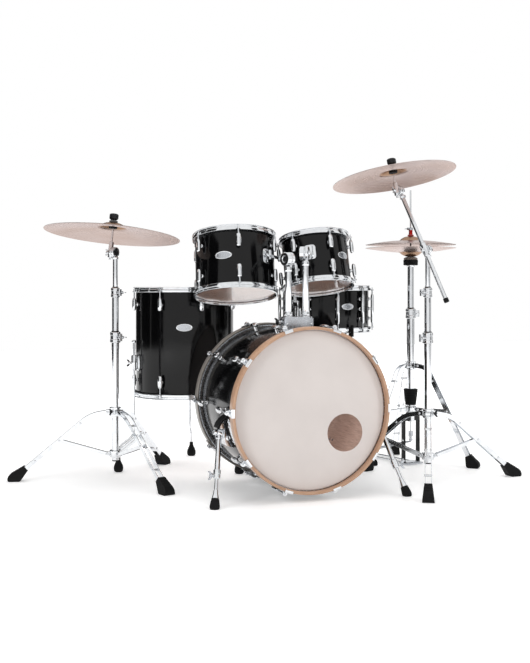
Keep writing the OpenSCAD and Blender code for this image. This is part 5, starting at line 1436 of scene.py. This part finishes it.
def snare_stand():
    here = floor_point_frame(SNARE)
    s = Shape()
    tripod(s, SNARE_LEGS, SNARE_REACH, SNARE_TOP, 70, 0.45, 20, SNARE_BORE)
    tube(s, MID_R, MID_BORE, 50, 330)
    tube_clamp(s, MID_BORE, 17, 34, -100, 308)
    s.piece("snare_stand_base", "detailed", here, "kit", soften=0.4)

    s = Shape()
    top_rod(s, 190 - SNARE_HINGE.z, -16)
    s.solid([(12, -4), (13, -3), (13, 3), (12, 4)], 36, rx(90))
    s.block((-9, -4, -20), (9, 4, -6), HERE, 1.5)
    s.solid([(12.5, -24), (13, -22), (13, -19), (10, -15)], 36)
    s.bar(4, -14, 14, 24, rx(90))
    s.solid([(7, 12), (7, 16), (5, 18)], 28, rx(90))
    wing_head(s, at(0, -13.5, 0) @ rx(90), 12)
    hinge = to(SNARE_HINGE) @ rz(SNARE_TIP_A)
    s.piece("snare_stand_tube", "detailed", hinge, soften=0.5)

    s = Shape()
    for y in (-10.3, 4.3):
        s.prism(rounded([(-13, -6), (-6, -13), (6, -13), (13, -6), (13, 18), (-13, 18)], 5), -y - 6, -y,
                rz(SNARE_TIP_A) @ rx(90))
    s.lathe([(0.01, 14.5), (19, 14.5), (21, 16.5), (21, 22), (19, 24), (19, 27), (21, 29), (21, 33),
            (19, 35), (0.01, 35)], 44)
    elbow_z = SNARE.z - SNARE_DEPTH / 2 - 11 - SNARE_HINGE.z - 18
    out = SNARE_R + 17
    for angle in (281, 41, 161):
        turn = rz(angle)
        path = rounded([(10, 0, 26), (out - 30, 0, elbow_z), (out - 2, 0, elbow_z), (out, 0, elbow_z + 2),
                        (out, 0, elbow_z + 46)], 10, 5, False)
        s.pipe(path, 5.2, 20, turn)
        s.skin = RUBBER_SKIN
        s.solid(rounded([(5.4, elbow_z + 4), (6.6, elbow_z + 5), (6.6, elbow_z + 49), (4.5, elbow_z + 50)],
                        1.0, 3, False), 28, turn @ at(out, 0, 0))
        s.solid(rounded([(6.6, elbow_z - 6.5), (6.6, elbow_z + 10), (5.2, elbow_z + 17.5)], 1.2, 3, False),
                24, turn @ at(out - 14, 0, 0))
        s.skin = 0
    s.piece("snare_basket", "detailed", to(SNARE_HINGE), "snare", soften=0.6)


# ---- Hi-hat ----


def hihat():
    here = floor_point_frame(HIHAT)
    s = Shape()
    low_z, bridge_z, wide, bore = 234, 186, 42, 13.06
    tripod(s, HIHAT_LEGS, HIHAT_REACH, HIHAT_COLLAR_Z, low_z, 0.46, 24)
    tube(s, 16, bore, bridge_z - 4, 640)
    tube_clamp(s, bore, 21, 42, -18, 619)
    side = rz(HIHAT_BOARD_A)
    s.skin = BLACK_SKIN
    s.block((-13, -wide, bridge_z), (13, wide, bridge_z + 26), side, 5)
    s.lathe(ring(16.0, 21, bridge_z + 20, bridge_z + 32, 2.0), 44)
    for y in (-wide, wide - 4):
        s.block((-12, y, 8), (12, y + 4, bridge_z + 10), side, 1.5)
    s.skin = RUBBER_SKIN
    sleeve = [(16.0, low_z + 18), (22, low_z + 18)]
    for k in range(9):
        r, z = 23 + 0.9 * k, low_z + 20 + 7.4 * k
        sleeve += [(r, z), (r + 0.5, z + 5.4), (r - 1.3, z + 6.1), (r - 1.2, z + 7.0)]
    s.lathe(sleeve + [(16.0, sleeve[-1][1])], 48)
    s.skin = CAST_SKIN
    s.block((-32, -46, 3), (30, 46, 9), side, 8)
    s.block((-20, -37, 8.5), (20, 37, 12), side, 8)
    s.skin = 0
    for y in (-27, 27):
        s.pipe(rounded([side @ Vector((28, y, 7)), side @ Vector((60, y, 7)), side @ Vector((265, y, 7))],
                5, 3, False), 3.0, 16)
    s.skin = CAST_SKIN
    s.block((259, -38, 2), (319, 38, 7), side, 9)
    for y in (-38, 32):
        s.block((278, y, 4), (292, y + 6, 20), side, 2)
    s.skin = 0
    s.bar(2.5, -36, 36, 20, side @ at(285, 0, 14) @ rx(90))
    for y in (-1, 1):
        bolt_head(s, side @ at(285, y * 38, 14) @ rx(-90 * y), 4.2, 2)
        for z in (24, 104, bridge_z + 4):
            bolt_head(s, side @ at(0, y * wide, z) @ rx(-90 * y), 4.4, 2.4)
    s.piece("hihat_stand_base", "detailed", here, "kit", soften=0.4)

    s = Shape()
    cup = HIHAT.z - 28
    tube(s, 13, 11, 440, cup - 11)
    s.lathe([(3.3, cup - 16), (15, cup - 16), (16.2, cup - 13), (16.2, cup - 3), (15, cup), (3.3, cup)], 44)
    s.solid([(3.4, 0), (4.4, 1), (4.4, 6), (2, 7)], 16, at(15, 0, cup - 8) @ ry(90))
    s.of(RUBBER_SKIN).lathe([(12, cup - 9), (28, cup - 9), (31, cup - 6), (31, cup - 1), (30, cup),
            (30, cup + 2), (31, cup + 3), (31, cup + 12), (29.5, cup + 14.5), (12, cup + 14.5)], 48)
    s.of(FELT_SKIN).lathe([(3.3, cup + 14), (28, cup + 14), (29.5, cup + 16.5), (29, cup + 21),
            (25, cup + 24), (15, cup + 27.6), (3.3, cup + 27.6)], 48)
    s.piece("hihat_upper_tube", "detailed", here, finishes=HARDWARE + [BROWN_FELT], soften=0.4)

    top_z = HIHAT.z + CYMBAL_T + HIHAT_GAP + 13
    cymbal("hihat_bottom_cymbal", *HIHAT_SHAPE, here @ up(HIHAT.z + CYMBAL_T) @ FLIP)
    cymbal("hihat_top_cymbal", *HIHAT_SHAPE, here @ up(top_z))

    s = Shape()
    s.solid([(3.2, 130), (3.2, 1163.5), (2.4, 1165)], 24)
    s.bar(5.5, top_z - 14, top_z + 38, 28)
    s.skin = CAST_SKIN
    s.solid([(8, top_z - 16.5), (9, top_z - 15.5), (9, top_z - 9), (8, top_z - 8)], 20)
    s.solid(rounded([(7, top_z + 28), (9.6, top_z + 28), (9.6, top_z + 39), (7, top_z + 39)], 1.5, 3,
            False), 32)
    wing_bolt(s, rz(-160) @ up(top_z + 33.5) @ ry(90), (3.5, 4, 15, 5, 19), 13, 11, 20, 90, CAST_SKIN)
    s.skin = FELT_SKIN
    for low in (-7.8, 1.8):
        s.lathe(ring(5.5, 13, top_z + low, top_z + low + 7.4, 2.2), 40)
    s.skin = RED_SKIN
    s.solid(rounded([(6, top_z + 9), (8.2, top_z + 9), (8.2, top_z + 18), (7, top_z + 19), (7, top_z + 20),
                     (8.2, top_z + 21), (8.2, top_z + 28.5), (6, top_z + 28.5)], 0.8, 3, False), 36)
    s.skin = CAST_SKIN
    s.block((-7, -8, 118), (7, 8, 140), side, 3)
    s.block((-3, -6, 97), (3, 6, 119), side, 2)
    s.bar(2.2, -10, 10, 16, side @ up(104) @ rx(90))
    s.piece("hihat_rod", "and_clutch", here, finishes=HARDWARE + [RED_FELT, RED], soften=0.4)
    footboard("hihat_footboard", pivot("hihat_pedal"), HIHAT_BOARD_A + 180, HIHAT_BOARD, 37, 18, 31.5)


# ---- Pedals ----


def footboard(name, heel, compass_deg, run_and_climb, half_w, toe_half, eye_half, extra=None):
    """A cast footboard from its heel hinge to its toe, with raised treads."""
    run, climb = run_and_climb
    length, rise = hypot(run, climb), degrees(atan2(climb, run))
    s = Shape()
    inner = min(half_w, eye_half) - 1
    outline = [(4, -inner), (12, -inner), (22, -half_w), (length * 0.72, -half_w), (length, -toe_half),
               (length, toe_half), (length * 0.72, half_w), (22, half_w), (12, inner), (4, inner)]
    s.prism(rounded(outline, 6), 4, 8.6)
    s.prism(rounded([(x * 0.93 + 8, y * 0.86) for x, y in outline[2:-2]], 8), 8.4, 9.4)
    s.lathe(ring(2.56, 6.5, -eye_half, eye_half, 0.8), 32, rx(90))
    s.skin = BLACK_SKIN
    rows = int((length - 60) / 14)
    for i in range(rows):
        x = 34 + i * 14
        width = half_w * 0.72 if x < length * 0.7 else half_w * 0.72 - (x - length * 0.7) * 0.22
        for y in (-width, -width / 3, width / 3):
            s.block((x, y + 1.2, 9.2), (x + 6.5, y + width * 2 / 3 - 1.2, 10.6), HERE, 1.8)
    s.skin = 0
    place = to(heel) @ rz(compass_deg) @ ry(-rise)
    if extra:
        extra(s, place.inverted())
    s.piece(name, "cast", place, finishes=PEDAL_METAL, slot="steel", soften=0.7)


def chain(s, to_board):
    """A roller chain from the board's toe up beside the cam."""
    toe = floor_point_frame(BASS) @ at(0, 575.5, 122)
    s.skin = CAST_SKIN
    for i in range(6):
        link = to_board @ toe @ up(8 * i)
        s.bar(2.2, -4.6, 4.6, 14, link @ ry(90))
        for x in (-4.2, -2.6, 1.6, 3.2):
            if (x in (-4.2, 3.2)) == bool(i % 2):
                s.block((x, -2.2, -1.5), (x + 1.0, 2.2, 9.5), link, 0.8)
    s.skin = 0


def kick_pedal():
    here = floor_point_frame(BASS)
    s = Shape()
    s.block((-46, 501, 1), (46, 805, 5.5), here, 9)
    s.block((-34, 545, 5), (34, 760, 7), here, 14)
    s.block((-38, 786, 5), (38, 804, 12), here, 6)
    for x in (-58, 46):
        sides = rounded([(533, 2), (557, 2), (557, 16), (551, 30), (551, 172), (554, 186), (554, 200),
                         (545, 208), (536, 200), (536, 186), (539, 172), (539, 30), (533, 16)], 4)
        s.prism(sides, x, x + 12, here @ SIDEWAYS)
        s.lathe(ring(5.06, 13, 0, 12, 1.6), 40, here @ at(x, 545, 195) @ ry(90))
    s.block((-58, 535, 1), (58, 555, 7), here, 4)
    s.skin = BLACK_SKIN
    s.block((-20, 483, 6.5), (20, 533, 23.7), here, 4)
    s.block((-20, 509, 6.5), (20, 533, 50.5), here, 4)
    s.block((-18, 487, BASS.z - BASS_R - 1.8), (18, 517, BASS.z - BASS_R + 7.2), here, 3)
    s.skin = CAST_SKIN
    s.bar(4, 48, 66, 20, here @ at(0, 521, 0))
    wing_head(s, here @ at(0, 521, 60), 13)
    for x in (-46, 38):
        s.block((x, 768, 5), (x + 8, 782, 22), here, 3)
    s.skin = 0
    s.bar(2.5, -46, 46, 20, here @ at(0, 775, 16) @ ry(90))
    for side in (-1, 1):
        bolt_head(s, here @ at(side * 46, 775, 16) @ ry(90 * side), 4.4, 2)
    s.piece("kick_pedal_frame", "detailed", HERE, "kit", PEDAL_METAL, "steel", 0.8)

    footboard("kick_footboard", pivot("kick_pedal"), -90, KICK_BOARD, 35, 16, 37.5, chain)

    s = Shape()
    s.solid([(4.4, -62), (5, -61), (5, 61), (4.4, 62)], 28, ry(90))
    s.solid([(11, -30), (12, -29), (12, 29), (11, 30)], 36, ry(90))
    toothed(s, 25.5, -3.5, 3.5, ry(90), 22)
    s.bar(22, -6, 6, 44, ry(90))
    lean = rx(-28)
    s.block((-9, -9, 5), (9, 9, 27), lean, 4)
    s.bar(4, 8, 150, 24, lean)
    s.solid([(3.5, 8), (3.5, 13), (5.5, 14), (5.5, 17)], 18, lean @ up(18) @ ry(90))
    s.of(BLACK_SKIN).solid([(13, -20.6), (14, -20), (14, 20), (13, 20.6)], 40, lean @ up(150) @ rx(90))
    s.of(FELT_SKIN).lathe(rounded([(13.8, -20), (22, -20), (22, 20), (13.8, 20)], 3.5, 4), 48,
            lean @ up(150) @ rx(90))
    s.piece("kick_beater", "felt", to(pivot("kick_beater_swing")),
            finishes=HARDWARE + [WHITE_FELT], soften=0.5)


# ---- Studio ----


def studio():
    s = Shape()
    s.prism([(-9000, -9000), (9000, -9000), (9000, 9000), (-9000, 9000)], -10, -0.3)
    m, tree, where = finish("white_studio_floor", "#f4f4f4", 0.6, Emission_Color=(1, 1, 1, 1))
    colour(tree, grain(tree, where, 3.0), [(0.3, "#f3f3f3"), (0.7, "#f6f6f6")])
    seen = add(tree, "ShaderNodeLightPath")
    direct = maths(tree, "MAXIMUM", seen.outputs["Is Camera Ray"], seen.outputs["Is Glossy Ray"])
    away = add(tree, "ShaderNodeVectorMath", {0: where}, operation="LENGTH").outputs["Value"]
    drive(tree, "Emission Strength", maths(tree, "MULTIPLY", direct,
            between(tree, away, 0.3, 0.8, 1.6, 4.5)))
    s.thing("studio_floor", [m])

    def lamp(name, place, aim_z, wide, tall, power):
        data = bpy.data.lights.new(name, "AREA")
        data.shape, data.size, data.size_y, data.energy = "RECTANGLE", wide, tall, power
        obj = bpy.data.objects.new(name, data)
        obj.location = place
        obj.rotation_euler = (Vector((0, 0, aim_z)) - Vector(place)).to_track_quat("-Z", "Y").to_euler()
        obj.visible_glossy = False
        bpy.context.scene.collection.objects.link(obj)

    lamp("softbox_left", (-4.2, -2.6, 2.2), 0.6, 1.2, 3.0, 75)
    lamp("softbox_right", (3.4, -3.8, 2.2), 0.6, 1.0, 3.0, 60)
    lamp("softbox_top", (0, 0.2, 4.0), 0.5, 3.0, 3.0, 90)
    lamp("softbox_rear", (2.6, 4.0, 2.6), 0.6, 2.4, 2.0, 40)

    flag_cloth, tree, where = finish("black_studio_cloth", "#0c0c0d", 0.9)
    colour(tree, grain(tree, where, 4.0), [(0.3, "#0a0a0b"), (0.7, "#101011")])

    def flag(name, compass_deg, wide, out=6.2, tall=4.4, lift=0.05):
        sheet = bpy.data.meshes.new(name)
        x, z = wide / 2, tall / 2
        sheet.from_pydata([(-x, 0, -z), (x, 0, -z), (x, 0, z), (-x, 0, z)], [], [(0, 1, 2, 3)])
        sheet.materials.append(flag_cloth)
        obj = bpy.data.objects.new(name, sheet)
        obj.location = compass(compass_deg) * out + Vector((0, 0, tall / 2 + lift))
        obj.rotation_euler = (0, 0, radians(compass_deg - 90))
        bpy.context.scene.collection.objects.link(obj)
        obj.visible_camera = obj.visible_diffuse = obj.visible_shadow = False

    for number in range(4):
        flag(f"flag_left_{number}", 80 + 35 * number, 3.7)
    for number in range(3):
        flag(f"flag_right_{number}", 312 + 40 * number, 2.0)

    world = bpy.data.worlds.new("white_room")
    bpy.context.scene.world = world
    world.use_nodes = True
    tree = world.node_tree
    path = add(tree, "ShaderNodeLightPath")
    seen = maths(tree, "MAXIMUM", path.outputs["Is Camera Ray"],
                 maths(tree, "MAXIMUM", path.outputs["Is Glossy Ray"], path.outputs["Is Transmission Ray"]))
    level = between(tree, seen, 0.5, 1.0, 0.0, 1.0)
    sky = tree.nodes["Background"]
    sky.inputs["Color"].default_value = (1, 1, 1, 1)
    tree.links.new(level, sky.inputs["Strength"])


def camera():
    data = bpy.data.cameras.new("camera")
    data.sensor_fit, data.sensor_height = "VERTICAL", 36.0
    data.lens = 57.0
    data.shift_y = -0.0626
    data.clip_end = 60
    obj = bpy.data.objects.new("camera", data)
    obj.location = (-1.3165, -3.9175, 0.74)
    obj.rotation_euler = (radians(90), 0, radians(-18.5))
    bpy.context.scene.collection.objects.link(obj)
    bpy.context.scene.camera = obj


bass_drum()
bass_brackets()
spur(-1, "spur_left")
spur(1, "spur_right")
floor_tom()
for side_name, side_angle in FLOOR_LEGS.items():
    floor_tom_leg("floor_tom_leg_" + side_name, side_angle)
rack_toms()
snare_drum()
snare_stand()
ride()
crash()
hihat()
kick_pedal()
rubber_feet()
studio()
camera()
bpy.context.scene.view_settings.view_transform = "Standard"
